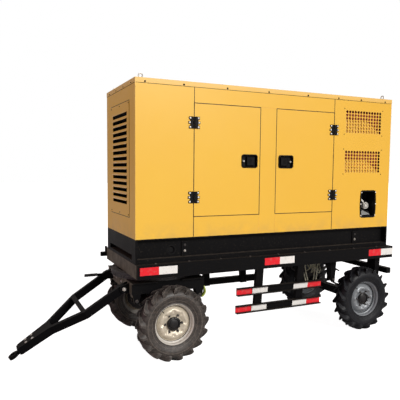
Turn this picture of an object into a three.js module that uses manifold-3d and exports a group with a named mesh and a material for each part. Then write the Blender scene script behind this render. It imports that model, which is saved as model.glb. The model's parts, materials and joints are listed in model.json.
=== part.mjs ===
// Towable diesel generator: a canopied generating set on a two-axle trailer whose front axle steers on a
// turntable. Millimetres, +Z up. -X is the towing end and -Y is the left-hand side of the trailer as it is
// towed. The pieces are built with X measured from the middle of the canopy. At the end the whole machine
// moves so that the origin is on the ground under its middle, from the tow eye to the rear bumper.

import * as THREE from 'three';
import { mergeVertices } from 'three/addons/utils/BufferGeometryUtils.js';
import Module from 'manifold-3d';

const wasm = await Module();
wasm.setup();

// ---------------------------------------------------------------- driving dimensions

const MACHINE_MIDDLE_X = -542.5; // halfway from the tow eye's nose to the rear bumper's face
const GAP = 0.4; // between two pieces that touch on the real machine
const LEFT = -1;
const RIGHT = 1;
const SIDES = [['left', LEFT], ['right', RIGHT]];

// Canopy.
const CANOPY_HALF_LENGTH = 1638;
const CANOPY_HALF_WIDTH = 550;
const CANOPY_FLOOR = 1244;
const CANOPY_TOP = 2804;
const ROOF_LIP = 48;
const SKIN = 3;
const LINER = 26; // sound-absorbing lining behind the door and panel skins
const PANEL_BOTTOM = CANOPY_FLOOR + GAP;
const PANEL_TOP = CANOPY_TOP - ROOF_LIP - GAP;
const SEAM_WIDTH = 4;
const SEAM_DEPTH = 1.6;
const FRONT_SEAM_X = -1020;
const REAR_SEAM_X = 757;
const PILLAR_X = [-241, -36]; // pillar between the two side doors
const DOOR_Z = [1452, 2598];
const DOOR_GAP = 4;
const LINER_INSET = 50;
const LATCH_SIZE = [180, 128];
const LATCH_MIDDLE_Z = 2025;
const LATCH_DEPTH = 24;
const LATCH_X = { front: -371, rear: 94 };
const PADDLE_SIZE = [98, 92];
const VENT_X = [924, 1478];
const VENT_Z = [[1909, 2171], [2375, 2641]];
const FILLER_X = [1190, 1428];
const FILLER_Z = [1370, 1691];
const FILLER_DEPTH = 150;
const FILLER_CAP_PLACE = [1334, 1506];
const LOUVRE_HALF_WIDTH = 350;
const LOUVRE_Z = [1450, 2608];
const SLAT_COUNT = 15;
const SLAT_HALF_WIDTH = 280;
const SLAT_Z = [1562, 2522];
const REAR_DOOR_HALF_WIDTH = 340;
const REAR_DOOR_Z = [1560, 2460];
const REAR_LATCH_Y = 236;
const LIFTING_EYE_X = 1560;
const LIFTING_EYE_Y = 470;

// Skid base with its fuel tank. It stands on the trailer deck.
const DECK_TOP = 998;
const BASE_BOTTOM = DECK_TOP + GAP;
const BASE_TOP = 1243.6;
const BASE_RECESS = 60; // from the canopy's side in to the base's web
const BASE_LIP = 46; // height of the rail along the foot of the base
const BASE_FLANGE = 12;

// Generating set.
const SHAFT_Z = 1700;
const FAN_MIDDLE = [-1080, 1900];
const EXHAUST_PLACE = [-1330, 120];

// Trailer deck.
const DECK_BOTTOM = 858;
const DECK_FLANGE = 58;
const DECK_HALF_WIDTH = 600;
const DECK_FRONT = -1640;
const DECK_REAR = 1698;
const STEEL = 8; // thickness of the rolled channels

// Side guards. The two stand at different heights and places along the deck.
const GUARD_LENGTH = 1128;
const GUARD_START = { left: -510, right: -630 };
const GUARD_FOOT = { left: 378, right: 428 };

// Axles and wheels: 6.50-16 lug tyres.
const FRONT_AXLE_X = -1252;
const REAR_AXLE_X = 1233;
const TYRE_RADIUS = 380;
const TYRE_SECTION = 180;
const WHEEL_MIDDLE_Y = 568;
const RIM_FLANGE_RADIUS = 222;
const RIM_WIDTH = 140;
const HUB_CAP_RADIUS = 71;
const AXLE_SIZE = 90;
const SPINDLE_RADIUS = 28;
const SPRING_Y = 424;
const SPRING_WIDTH = 60;
const SPRING_HALF_SPAN = { front: 346, rear: 352 };
const SPRING_EYE_Z = 610;
const SPRING_SEAT_Z = 440;

// Turntable and bogie.
const BOGIE_TOP = 797;
const BOGIE_BOTTOM = 680;
const BOGIE_HALF_LENGTH = 398;
const BOGIE_HALF_WIDTH = 500;
const BOGIE_RAIL_Y = [405, 465];
const RING_OUTER = 470;
const RING_INNER = 405;
const RING_SPLIT = 827;

// Drawbar.
const DRAWBAR_PIVOT = [-1706, 727];
const DRAWBAR_SLOPE_DEG = 32.3;
const ARM_HEIGHT = 80;
const ARM_WIDTH = 50;
const ARM_OUTER_Y = 365;
const DRAWBAR_LENGTH = 1147;
const PIN_RADIUS = 12;

// ---------------------------------------------------------------- shape tools

const MERGE_DISTANCE = 1e-4;

function solidOf(geometry) {
  geometry.deleteAttribute('normal');
  geometry.deleteAttribute('uv');
  const merged = mergeVertices(geometry, MERGE_DISTANCE);
  const mesh = new wasm.Mesh({
    numProp: 3,
    vertProperties: new Float32Array(merged.attributes.position.array),
    triVerts: new Uint32Array(merged.index.array),
  });
  return new wasm.Manifold(mesh);
}

function geometryOf(solid) {
  const mesh = solid.getMesh();
  const geometry = new THREE.BufferGeometry();
  geometry.setAttribute('position', new THREE.BufferAttribute(mesh.vertProperties, 3));
  geometry.setIndex(new THREE.BufferAttribute(mesh.triVerts, 1));
  return geometry;
}

function join(...solids) {
  return solids.reduce((whole, next) => whole.add(next));
}

function cut(base, ...tools) {
  return tools.reduce((whole, tool) => whole.subtract(tool), base);
}

function block(xs, ys, zs) {
  const [x0, x1] = [Math.min(...xs), Math.max(...xs)];
  const [y0, y1] = [Math.min(...ys), Math.max(...ys)];
  const [z0, z1] = [Math.min(...zs), Math.max(...zs)];
  const geometry = new THREE.BoxGeometry(x1 - x0, y1 - y0, z1 - z0);
  geometry.translate((x0 + x1) / 2, (y0 + y1) / 2, (z0 + z1) / 2);
  return solidOf(geometry);
}

function shapeOf(points, holes = []) {
  const corners = points.map(([a, b]) => new THREE.Vector2(a, b));
  if (THREE.ShapeUtils.isClockWise(corners)) {
    corners.reverse();
  }
  const shape = new THREE.Shape(corners);
  for (const hole of holes) {
    shape.holes.push(new THREE.Path(hole.map(([a, b]) => new THREE.Vector2(a, b))));
  }
  return shape;
}

// An outline in X and Z, drawn out along Y.
function prismAlongY(points, ys, holes) {
  const depth = Math.abs(ys[1] - ys[0]);
  const geometry = new THREE.ExtrudeGeometry(shapeOf(points, holes), { depth, bevelEnabled: false });
  geometry.rotateX(Math.PI / 2);
  geometry.translate(0, Math.max(...ys), 0);
  return solidOf(geometry);
}

// An outline in Y and Z, drawn out along X.
function prismAlongX(points, xs) {
  const geometry = new THREE.ExtrudeGeometry(shapeOf(points), { depth: xs[1] - xs[0], bevelEnabled: false });
  const turn = new THREE.Matrix4().makeBasis(
    new THREE.Vector3(0, 1, 0),
    new THREE.Vector3(0, 0, 1),
    new THREE.Vector3(1, 0, 0),
  );
  geometry.applyMatrix4(turn);
  geometry.translate(xs[0], 0, 0);
  return solidOf(geometry);
}

// An outline in X and Y, drawn out along Z.
function prismAlongZ(points, zs, holes) {
  const geometry = new THREE.ExtrudeGeometry(shapeOf(points, holes), {
    depth: zs[1] - zs[0],
    bevelEnabled: false,
  });
  geometry.translate(0, 0, zs[0]);
  return solidOf(geometry);
}

function circle(radius, count, [a, b] = [0, 0], start = Math.PI / count) {
  const points = [];
  for (let i = 0; i < count; i += 1) {
    const angle = start + (2 * Math.PI * i) / count;
    points.push([a + radius * Math.cos(angle), b + radius * Math.sin(angle)]);
  }
  return points;
}

function drumAlongX([y, z], radius, xs, count = 16) {
  return prismAlongX(circle(radius, count, [y, z]), xs);
}

function drumAlongY([x, z], radius, ys, count = 16) {
  return prismAlongY(circle(radius, count, [x, z]), ys);
}

function drumAlongZ([x, y], radius, zs, count = 16) {
  return prismAlongZ(circle(radius, count, [x, y]), zs);
}

// A profile of [radius, height] points turned about +Y, with a flat at its lowest and highest place.
function turnedAboutY(profile, count) {
  const points = [...profile, profile[0]].map(([radius, height]) => new THREE.Vector2(radius, height));
  return solidOf(new THREE.LatheGeometry(points, count, Math.PI / count));
}

function turnedAboutZ(profile, count) {
  const points = [...profile, profile[0]].map(([radius, height]) => new THREE.Vector2(radius, height));
  const geometry = new THREE.LatheGeometry(points, count);
  geometry.rotateX(Math.PI / 2);
  return solidOf(geometry);
}

// ---------------------------------------------------------------- looks

const LOOKS = {
  canopyYellow: { color: 0xf0b53f, roughness: 0.45, metalness: 0.1 },
  baseBlack: { color: 0x1c1b1e, roughness: 0.5, metalness: 0.1 },
  frameBlack: { color: 0x1b1a1c, roughness: 0.55, metalness: 0.1 },
  tyreRubber: { color: 0x28231f, roughness: 0.9, metalness: 0 },
  rimPaint: { color: 0xc9c3b0, roughness: 0.45, metalness: 0.3 },
  hubBlack: { color: 0x201e1e, roughness: 0.5, metalness: 0.2 },
  springSteel: { color: 0x2a2727, roughness: 0.6, metalness: 0.4 },
  latchBlack: { color: 0x17171a, roughness: 0.4, metalness: 0.1 },
  machinedSteel: { color: 0x8d8f92, roughness: 0.35, metalness: 0.8 },
  engineGreen: { color: 0x3d5a4a, roughness: 0.55, metalness: 0.1 },
  alternatorBlue: { color: 0x2f4a66, roughness: 0.5, metalness: 0.1 },
  radiatorBlack: { color: 0x202226, roughness: 0.6, metalness: 0.2 },
  heatSteel: { color: 0x77706a, roughness: 0.6, metalness: 0.6 },
  plasticGrey: { color: 0x3c3f44, roughness: 0.6, metalness: 0 },
};

const machine = new THREE.Group();

function addPart(name, solid, look, parent = machine) {
  const material = new THREE.MeshStandardMaterial({ ...LOOKS[look], flatShading: true });
  const mesh = new THREE.Mesh(geometryOf(solid), material);
  mesh.name = name;
  parent.add(mesh);
  return mesh;
}

// ---------------------------------------------------------------- trailer deck

// A rolled channel along X with its flanges turned away from the middle of the trailer.
function outwardChannel(side, xs, zs, webY, flangeY) {
  const [low, high] = zs;
  return prismAlongX(
    [
      [side * (webY - STEEL), low],
      [side * flangeY, low],
      [side * flangeY, low + STEEL],
      [side * webY, low + STEEL],
      [side * webY, high - STEEL],
      [side * flangeY, high - STEEL],
      [side * flangeY, high],
      [side * (webY - STEEL), high],
    ],
    xs,
  );
}

// A rolled channel along X with its web outside and its flanges turned in.
function edgeChannel(side, xs, zs, outerY, flange) {
  const [low, high] = zs;
  return prismAlongX(
    [
      [side * outerY, low],
      [side * outerY, high],
      [side * (outerY - flange), high],
      [side * (outerY - flange), high - STEEL],
      [side * (outerY - STEEL), high - STEEL],
      [side * (outerY - STEEL), low + STEEL],
      [side * (outerY - flange), low + STEEL],
      [side * (outerY - flange), low],
    ],
    xs,
  );
}

// A spring hanger: two cheeks that taper down to the spring eye and close above it.
function springHanger(x, side, top) {
  const halfTop = 46;
  const halfEye = 24;
  const below = 26;
  const outline = [
    [x - halfTop, top],
    [x - halfEye, SPRING_EYE_Z - below],
    [x + halfEye, SPRING_EYE_Z - below],
    [x + halfTop, top],
  ];
  const outer = SPRING_Y + SPRING_WIDTH / 2 + 12;
  const inner = SPRING_Y - SPRING_WIDTH / 2 - 12;
  const cheeks = prismAlongY(outline, [side * inner, side * outer]);
  const slot = block(
    [x - halfTop, x + halfTop],
    [side * (SPRING_Y - SPRING_WIDTH / 2 - 2), side * (SPRING_Y + SPRING_WIDTH / 2 + 2)],
    [SPRING_EYE_Z - 60, SPRING_EYE_Z + 34],
  );
  return cut(cheeks, slot);
}

function buildDeckFrame() {
  const step = 1; // small steps between welded members keep their faces from lying in one plane
  const web = DECK_HALF_WIDTH - STEEL / 2;
  const endYs = [-DECK_HALF_WIDTH + 10, DECK_HALF_WIDTH - 10];
  const lipDepth = 50;
  const endZ = [DECK_BOTTOM + 3 * step, DECK_TOP - step];
  const lipZ = [DECK_TOP - STEEL, DECK_TOP - 2 * step];
  const innerRailY = [SPRING_Y - 30, SPRING_Y + 30];
  const innerZ = [DECK_BOTTOM + step, DECK_TOP - 6];
  const crossWidth = 70;
  const crossZ = [DECK_BOTTOM + 2 * step, DECK_TOP - 12];
  const crossXs = [FRONT_AXLE_X - 340, FRONT_AXLE_X + 270, -300, 319, 790, REAR_AXLE_X, 1500];
  const ends = [
    block([DECK_FRONT, DECK_FRONT + STEEL], endYs, endZ),
    block([DECK_FRONT + STEEL / 2, DECK_FRONT + lipDepth], [-web, web], lipZ),
    block([DECK_REAR - STEEL, DECK_REAR], endYs, endZ),
    block([DECK_REAR - lipDepth, DECK_REAR - STEEL / 2], [-web, web], lipZ),
  ];
  const channelXs = [DECK_FRONT + STEEL / 2, DECK_REAR - STEEL / 2];
  const longways = SIDES.flatMap(([, side]) => [
    edgeChannel(side, channelXs, [DECK_BOTTOM, DECK_TOP], DECK_HALF_WIDTH, DECK_FLANGE),
    block([channelXs[0] + step, channelXs[1] - step], innerRailY.map((y) => side * y), innerZ),
  ]);
  const across = crossXs.map((x) => block([x, x + crossWidth], [-web, web], crossZ));
  const hangers = SIDES.flatMap(([, side]) =>
    [-1, 1].map((end) => springHanger(REAR_AXLE_X + end * SPRING_HALF_SPAN.rear, side, DECK_BOTTOM + 5)));
  return join(...longways, ...across, ...ends, ...hangers, markerBracket());
}

// A short bracket that sticks out ahead of the deck at its right-hand front corner.
function markerBracket() {
  const bar = block([DECK_FRONT - 68, DECK_FRONT + 86], [594, 634], [894, 944]);
  const stub = drumAlongZ([DECK_FRONT - 4, 614], 14, [940, DECK_TOP + 12], 12);
  return join(bar, stub);
}

// A side guard of two channels on two posts, leaning in towards its foot.
function buildSideGuard(word, side) {
  const start = GUARD_START[word];
  const railXs = [start, start + GUARD_LENGTH];
  const topZ = DECK_BOTTOM - GAP;
  const footZ = GUARD_FOOT[word];
  const topOuter = 586;
  const footOuter = 544;
  const postDepth = 46;
  const outerAt = (z) => footOuter + ((topOuter - footOuter) * (z - footZ)) / (topZ - footZ);
  const postOutline = [
    [side * (topOuter - postDepth), topZ],
    [side * topOuter, topZ],
    [side * footOuter, footZ],
    [side * (footOuter - postDepth), footZ],
  ];
  const postSpans = [[235, 323], [780, 870]];
  const posts = postSpans.map(([x0, x1]) => prismAlongX(postOutline, [start + x0, start + x1]));
  const flange = 36;
  const railHeight = 85;
  const railPitch = 198;
  const rails = [footZ, footZ + railPitch].map((low) => {
    const zs = [low, low + railHeight];
    const web = outerAt((zs[0] + zs[1]) / 2) - 6;
    return outwardChannel(side, railXs, zs, web, web + flange);
  });
  return join(...posts, ...rails);
}

function buildRearBumper() {
  const bar = block([1636, 1700], [-575, 575], [650, 718]);
  const posts = [-1, 1].map((side) =>
    block([1636, 1694], [side * 240, side * 298], [700, DECK_BOTTOM - GAP]));
  return join(bar, ...posts);
}

function addDeck() {
  addPart('deck_frame', buildDeckFrame(), 'frameBlack');
  for (const [word, side] of SIDES) {
    addPart(`side_guard_${word}`, buildSideGuard(word, side), 'frameBlack');
  }
  addPart('rear_bumper', buildRearBumper(), 'frameBlack');
}

// ---------------------------------------------------------------- turntable and bogie

function turntableRing(low, high) {
  const profile = [[RING_INNER, low], [RING_OUTER, low], [RING_OUTER, high], [RING_INNER, high]];
  return turnedAboutZ(profile, 32);
}

function pivotLug(side, ys) {
  const [x, z] = DRAWBAR_PIVOT;
  const nose = 40;
  const points = [[FRONT_AXLE_X - BOGIE_HALF_LENGTH + 2, BOGIE_BOTTOM + 4]];
  for (let i = 0; i <= 4; i += 1) {
    const angle = (-Math.PI / 2) - (Math.PI * i) / 4;
    points.push([x + nose * Math.cos(angle), z + nose * Math.sin(angle)]);
  }
  points.push([FRONT_AXLE_X - BOGIE_HALF_LENGTH + 2, BOGIE_TOP - 12]);
  return prismAlongY(points, ys.map((y) => side * y), [circle(PIN_RADIUS + 1, 12, [x, z])]);
}

function leverBracket() {
  const front = FRONT_AXLE_X - BOGIE_HALF_LENGTH;
  const outline = [
    [front + 2, 700],
    [front + 2, 790],
    [front - 70, 790],
    [front - 118, 765],
    [front - 118, 722],
    [front - 80, 700],
  ];
  return prismAlongY(outline, [246, 256]);
}

function buildBogieFrame() {
  const front = FRONT_AXLE_X - BOGIE_HALF_LENGTH;
  const rear = FRONT_AXLE_X + BOGIE_HALF_LENGTH;
  const plateBottom = BOGIE_TOP - 10;
  const notch = 130; // half-length of the clearance over each tyre
  const notchY = 470;
  const corner = 24;
  const halfPlate = (side) => [
    [front, side * BOGIE_HALF_WIDTH],
    [FRONT_AXLE_X - notch, side * BOGIE_HALF_WIDTH],
    [FRONT_AXLE_X - notch, side * notchY],
    [FRONT_AXLE_X + notch, side * notchY],
    [FRONT_AXLE_X + notch, side * BOGIE_HALF_WIDTH],
    [rear - corner, side * BOGIE_HALF_WIDTH],
    [rear, side * (BOGIE_HALF_WIDTH - corner)],
  ];
  const plateOutline = [...halfPlate(LEFT), ...halfPlate(RIGHT).reverse()];
  const plate = prismAlongZ(plateOutline, [plateBottom, BOGIE_TOP], [circle(340, 16, [FRONT_AXLE_X, 0])]);
  const rails = SIDES.map(([, side]) =>
    block([front, rear], BOGIE_RAIL_Y.map((y) => side * y), [BOGIE_BOTTOM, BOGIE_TOP - 5]));
  const crossZ = [BOGIE_BOTTOM, BOGIE_TOP - 5];
  const across = [[front, front + 60], [rear - 60, rear]].map((xs) => block(xs, [-430, 430], crossZ));
  const hangers = SIDES.flatMap(([, side]) => [-1, 1].map((end) =>
    springHanger(FRONT_AXLE_X + end * SPRING_HALF_SPAN.front, side, BOGIE_BOTTOM + 4)));
  const lugs = SIDES.flatMap(([, side]) => [pivotLug(side, [296, 310]), pivotLug(side, [368, 382])]);
  return join(plate, ...rails, ...across, ...hangers, ...lugs, leverBracket());
}

function buildBrakeLever() {
  const pivotX = -1738;
  const pivotZ = 745;
  const length = 232;
  const grip = 140;
  const bumps = 5;
  const top = [];
  const bottom = [];
  for (let i = 0; i <= 2 * bumps; i += 1) {
    const along = (length - grip) + (grip * i) / (2 * bumps);
    bottom.push([pivotX - along, pivotZ - 4 - (i % 2 === 0 ? 6 : 0)]);
  }
  top.push([pivotX - length, pivotZ + 8], [pivotX - length + 30, pivotZ + 14], [pivotX - 40, pivotZ + 16]);
  const outline = [[pivotX, pivotZ - 20], ...bottom, ...top];
  const boss = drumAlongY([pivotX, pivotZ], 22, [256 + GAP, 280], 14);
  return join(prismAlongY(outline, [262, 278]), boss);
}

function addBogie() {
  const lower = turntableRing(BOGIE_TOP + GAP, RING_SPLIT);
  const upper = turntableRing(RING_SPLIT + GAP, DECK_BOTTOM - GAP);
  addPart('turntable_lower_ring', lower, 'springSteel').position.x = FRONT_AXLE_X;
  addPart('turntable_upper_ring', upper, 'springSteel').position.x = FRONT_AXLE_X;
  addPart('bogie_frame', buildBogieFrame(), 'frameBlack');
  addPart('brake_lever', buildBrakeLever(), 'latchBlack');
}

// ---------------------------------------------------------------- drawbar

// The drawbar is drawn level, reaching out along -X from its pivot line, and tilted by its group.
function buildDrawbar() {
  const tail = 34;
  const brace = [-462, -414];
  const arm = [[tail, ARM_OUTER_Y], [0, ARM_OUTER_Y], [-438, 345], [-800, 110], [-DRAWBAR_LENGTH, 62]];
  const innerAtBrace = (x) => 315 - 20 * (-x / 438);
  const outline = [
    ...arm,
    ...arm.map(([x, y]) => [x, -y]).reverse(),
    [tail, -(ARM_OUTER_Y - ARM_WIDTH)],
    [brace[1], -innerAtBrace(brace[1])],
    [brace[1], innerAtBrace(brace[1])],
    [tail, ARM_OUTER_Y - ARM_WIDTH],
  ];
  const windowHole = [[brace[0], 270], [brace[0], -270], [-772, -70], [-772, 70]];
  const frame = prismAlongZ(outline, [-ARM_HEIGHT / 2, ARM_HEIGHT / 2], [windowHole]);
  const bores = SIDES.map(([, side]) =>
    drumAlongY([0, 0], PIN_RADIUS + 1, [side * (ARM_OUTER_Y - ARM_WIDTH - 5), side * (ARM_OUTER_Y + 5)], 12));
  return cut(frame, ...bores);
}

function buildTowEye() {
  const ringOuter = 50;
  const ringInner = 26;
  const ringX = -DRAWBAR_LENGTH - 78;
  const thickness = 34;
  const low = -14 - thickness / 2;
  const zs = [low, low + thickness];
  const ring = prismAlongZ(circle(ringOuter, 24, [ringX, 0]), zs, [circle(ringInner, 16, [ringX, 0])]);
  const neck = block([ringX + 38, -DRAWBAR_LENGTH - 10], [-26, 26], zs);
  const flange = block([-DRAWBAR_LENGTH - 14, -DRAWBAR_LENGTH - GAP], [-56, 56], [-36, 36]);
  return join(ring, neck, flange);
}

function buildDrawbarPin(side) {
  const [x, z] = DRAWBAR_PIVOT;
  const shank = drumAlongY([x, z], PIN_RADIUS, [side * 288, side * 384], 12);
  const head = drumAlongY([x, z], 20, [side * (382 + GAP), side * 396], 6);
  const nut = drumAlongY([x, z], 20, [side * 280, side * (296 - GAP)], 6);
  return join(shank, head, nut);
}

function addDrawbar() {
  const tilt = new THREE.Group();
  tilt.position.set(DRAWBAR_PIVOT[0], 0, DRAWBAR_PIVOT[1]);
  tilt.rotation.y = THREE.MathUtils.degToRad(-DRAWBAR_SLOPE_DEG);
  machine.add(tilt);
  addPart('drawbar', buildDrawbar(), 'frameBlack', tilt);
  addPart('tow_eye', buildTowEye(), 'frameBlack', tilt);
  for (const [word, side] of SIDES) {
    addPart(`drawbar_pin_${word}`, buildDrawbarPin(side), 'machinedSteel');
  }
}

// ---------------------------------------------------------------- axles, springs and wheels

function buildAxle() {
  const half = AXLE_SIZE / 2;
  const beamEnd = 478;
  const beam = block([-half, half], [-beamEnd, beamEnd], [TYRE_RADIUS - half, TYRE_RADIUS + half]);
  const spindles = SIDES.map(([, side]) =>
    drumAlongY([0, TYRE_RADIUS], SPINDLE_RADIUS, [side * (beamEnd - 8), side * (WHEEL_MIDDLE_Y + 6)]));
  const padZ = [TYRE_RADIUS + half - 4, SPRING_SEAT_Z - 2];
  const pads = SIDES.map(([, side]) =>
    block([-60, 60], [side * (SPRING_Y - 34), side * (SPRING_Y + 34)], padZ));
  return join(beam, ...spindles, ...pads);
}

// A pack of leaves, thick at the axle and thin at its two eyes.
function buildLeafSpring(side, halfSpan) {
  const steps = 4;
  const rise = SPRING_EYE_Z - SPRING_SEAT_Z;
  const midThickness = 56;
  const endThickness = 12;
  const lower = [];
  const upper = [];
  for (let i = -steps; i <= steps; i += 1) {
    const t = i / steps;
    const thickness = midThickness + (endThickness - midThickness) * Math.abs(t);
    const top = SPRING_SEAT_Z + midThickness + (rise - midThickness) * t * t;
    lower.push([halfSpan * t, top - thickness]);
    upper.push([halfSpan * t, top]);
  }
  const ys = [side * (SPRING_Y - SPRING_WIDTH / 2), side * (SPRING_Y + SPRING_WIDTH / 2)];
  const leaves = prismAlongY([...lower, ...upper.reverse()], ys);
  const eyes = [-1, 1].map((end) => drumAlongY([end * halfSpan, SPRING_EYE_Z], 20, ys, 10));
  return join(leaves, ...eyes);
}

// Wheel pieces are turned about +Y with height 0 at the wheel's middle plane and the outer face up.
function buildTyre() {
  const count = 24;
  const tread = TYRE_RADIUS / Math.cos(Math.PI / count);
  const half = TYRE_SECTION / 2;
  const profile = [
    [207, 56], [207, 42], [336, 56], [336, -56], [207, -42], [207, -56],
    [236, -64], [290, -half], [tread, -60], [tread, 60], [290, half], [236, 64],
  ];
  return turnedAboutY(profile, count);
}

function buildRim() {
  const edge = RIM_WIDTH / 2;
  const flange = RIM_FLANGE_RADIUS;
  const profile = [
    [flange, edge], [214, edge], [196, edge - 16], [182, 16], [152, 20], [78, 20], [78, 13], [150, 13],
    [176, 6], [196, -edge + 14], [214, -edge], [flange, -edge], [204, -edge + 10], [204, edge - 10],
  ];
  return turnedAboutY(profile, 16);
}

function buildHub() {
  const bore = SPINDLE_RADIUS + 3;
  const profile = [
    [HUB_CAP_RADIUS, 44], [HUB_CAP_RADIUS - 8, 52], [0, 52], [0, 14], [bore, 14], [bore, -66], [150, -66],
    [150, -8], [140, -4], [112, 12], [HUB_CAP_RADIUS, 12],
  ];
  return turnedAboutY(profile, 16);
}

function addWheel(word, side, axleX) {
  const wheel = new THREE.Group();
  wheel.position.set(axleX, side * WHEEL_MIDDLE_Y, TYRE_RADIUS);
  wheel.rotation.z = side === LEFT ? Math.PI : 0;
  machine.add(wheel);
  addPart(`tyre_${word}`, buildTyre(), 'tyreRubber', wheel);
  addPart(`rim_${word}`, buildRim(), 'rimPaint', wheel);
  addPart(`hub_${word}`, buildHub(), 'hubBlack', wheel);
}

function addRunningGear() {
  for (const [end, axleX] of [['front', FRONT_AXLE_X], ['rear', REAR_AXLE_X]]) {
    const halfSpan = SPRING_HALF_SPAN[end];
    addPart(`${end}_axle`, buildAxle(), 'frameBlack').position.x = axleX;
    for (const [word, side] of SIDES) {
      const spring = addPart(`leaf_spring_${end}_${word}`, buildLeafSpring(side, halfSpan), 'springSteel');
      spring.position.x = axleX;
      addWheel(`${end}_${word}`, side, axleX);
    }
  }
}

// ---------------------------------------------------------------- skid base

function buildBase() {
  const half = CANOPY_HALF_LENGTH;
  const width = CANOPY_HALF_WIDTH;
  const body = block([-half, half], [-width, width], [BASE_BOTTOM, BASE_TOP]);
  const endPlate = 20;
  const web = width - BASE_RECESS;
  const recessZ = [BASE_BOTTOM + BASE_LIP, BASE_TOP - BASE_FLANGE];
  const recesses = SIDES.map(([, side]) =>
    block([-half + endPlate, half - endPlate], [side * web, side * (width + 5)], recessZ));
  const slotZ = [1026, 1080];
  const slotWidth = 430;
  const slotDepth = 320;
  const slots = [-1, 1].map((end) =>
    block([end * (half - slotDepth), end * (half + 5)], [-slotWidth, slotWidth], slotZ));
  const drainPlace = [-1242, 1114];
  const drainRadius = 45;
  const drainDepth = 24;
  const drains = SIDES.map(([, side]) =>
    drumAlongY(drainPlace, drainRadius, [side * (web - drainDepth), side * (width + 5)], 20));
  const strapZ = [BASE_BOTTOM + BASE_LIP - 2, 1196];
  const strapThickness = 12;
  const straps = SIDES.flatMap(([, side]) => [[-1128, -1067], [1128, 1189]].map((xs) =>
    block(xs, [side * (web - 2), side * (web + strapThickness)], strapZ)));
  return join(cut(body, ...recesses, ...slots, ...drains), ...straps);
}

// ---------------------------------------------------------------- canopy shell

function skinYs(side) {
  return [side * (CANOPY_HALF_WIDTH - SKIN), side * CANOPY_HALF_WIDTH];
}

function linerYs(side) {
  return [side * (CANOPY_HALF_WIDTH - SKIN - LINER), side * (CANOPY_HALF_WIDTH - SKIN / 2)];
}

// Vertical seams between neighbouring skins, and the header line above the doors.
function seamGrooves(side, xs) {
  const ys = [side * (CANOPY_HALF_WIDTH - SEAM_DEPTH), side * (CANOPY_HALF_WIDTH + 5)];
  const halfSeam = SEAM_WIDTH / 2;
  const upright = (x, zs) => block([x - halfSeam, x + halfSeam], ys, zs);
  return [
    upright(FRONT_SEAM_X, [PANEL_BOTTOM - 5, PANEL_TOP + 5]),
    upright(REAR_SEAM_X, [PANEL_BOTTOM - 5, PANEL_TOP + 5]),
    upright(PILLAR_X[0], [PANEL_BOTTOM - 5, DOOR_Z[0]]),
    upright(PILLAR_X[1], [PANEL_BOTTOM - 5, DOOR_Z[0]]),
    block(xs, ys, [DOOR_Z[1] - halfSeam, DOOR_Z[1] + halfSeam]),
  ];
}

function buildSidePanel(side) {
  const xs = [-CANOPY_HALF_LENGTH + SKIN + GAP, CANOPY_HALF_LENGTH - SKIN - GAP];
  const through = [side * (CANOPY_HALF_WIDTH - 60), side * (CANOPY_HALF_WIDTH + 10)];
  const skin = block(xs, skinYs(side), [PANEL_BOTTOM, PANEL_TOP]);
  const liner = block([xs[0] + 30, xs[1] - 30], linerYs(side), [PANEL_BOTTOM + 30, PANEL_TOP - 30]);
  const jamb = 14; // step that each door closes against
  const doorSpans = [[FRONT_SEAM_X, PILLAR_X[0]], [PILLAR_X[1], REAR_SEAM_X]];
  const doorways = doorSpans.map((span) => block(span, through, DOOR_Z));
  const linerSpans = doorSpans.map(([x0, x1]) =>
    block([x0 - jamb, x1 + jamb], [through[0], side * (CANOPY_HALF_WIDTH - SKIN)], [
      DOOR_Z[0] - jamb, DOOR_Z[1] + jamb]));
  const vents = VENT_Z.map((zs) => block(VENT_X, through, zs));
  const filler = side === LEFT ? [block(FILLER_X, through, FILLER_Z)] : [];
  const lined = join(skin, liner);
  return cut(lined, ...doorways, ...linerSpans, ...vents, ...filler, ...seamGrooves(side, [
    FRONT_SEAM_X, REAR_SEAM_X]));
}

// A side door hinged at one end. The skin closes flush, and its lining stays clear of the hinge.
function buildSideDoor(side, end) {
  const hinged = end === 'front' ? FRONT_SEAM_X : REAR_SEAM_X;
  const free = end === 'front' ? PILLAR_X[0] : PILLAR_X[1];
  const inward = Math.sign(free - hinged);
  const skin = block([hinged + inward * 2.5, free - inward * DOOR_GAP], skinYs(side), [
    DOOR_Z[0] + DOOR_GAP, DOOR_Z[1] - DOOR_GAP]);
  const linerXs = [hinged + inward * LINER_INSET, free - inward * (DOOR_GAP + 26)];
  const liner = block(linerXs, linerYs(side), [DOOR_Z[0] + 32, DOOR_Z[1] - 32]);
  const middle = LATCH_X[end];
  const pocket = block(
    [middle - LATCH_SIZE[0] / 2, middle + LATCH_SIZE[0] / 2],
    [side * (CANOPY_HALF_WIDTH - LATCH_DEPTH), side * (CANOPY_HALF_WIDTH + 5)],
    [LATCH_MIDDLE_Z - LATCH_SIZE[1] / 2, LATCH_MIDDLE_Z + LATCH_SIZE[1] / 2],
  );
  return cut(join(skin, liner), pocket);
}

// The pull paddle in a side door's latch dish. It is hinged on the side next to the pillar.
function buildLatch(side, end) {
  const away = end === 'front' ? -1 : 1;
  const axisX = LATCH_X[end] - away * 66;
  const halfTall = PADDLE_SIZE[1] / 2;
  const xs = [axisX, axisX + away * PADDLE_SIZE[0]];
  const ys = [side * (CANOPY_HALF_WIDTH - 8), side * (CANOPY_HALF_WIDTH - 1)];
  const plate = block(xs, ys, [LATCH_MIDDLE_Z - halfTall, LATCH_MIDDLE_Z + halfTall]);
  const rib = block([axisX + away * 84, axisX + away * PADDLE_SIZE[0]], [ys[0] - side * 6, ys[0]], [
    LATCH_MIDDLE_Z - halfTall, LATCH_MIDDLE_Z + halfTall]);
  return join(plate, rib);
}

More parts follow.
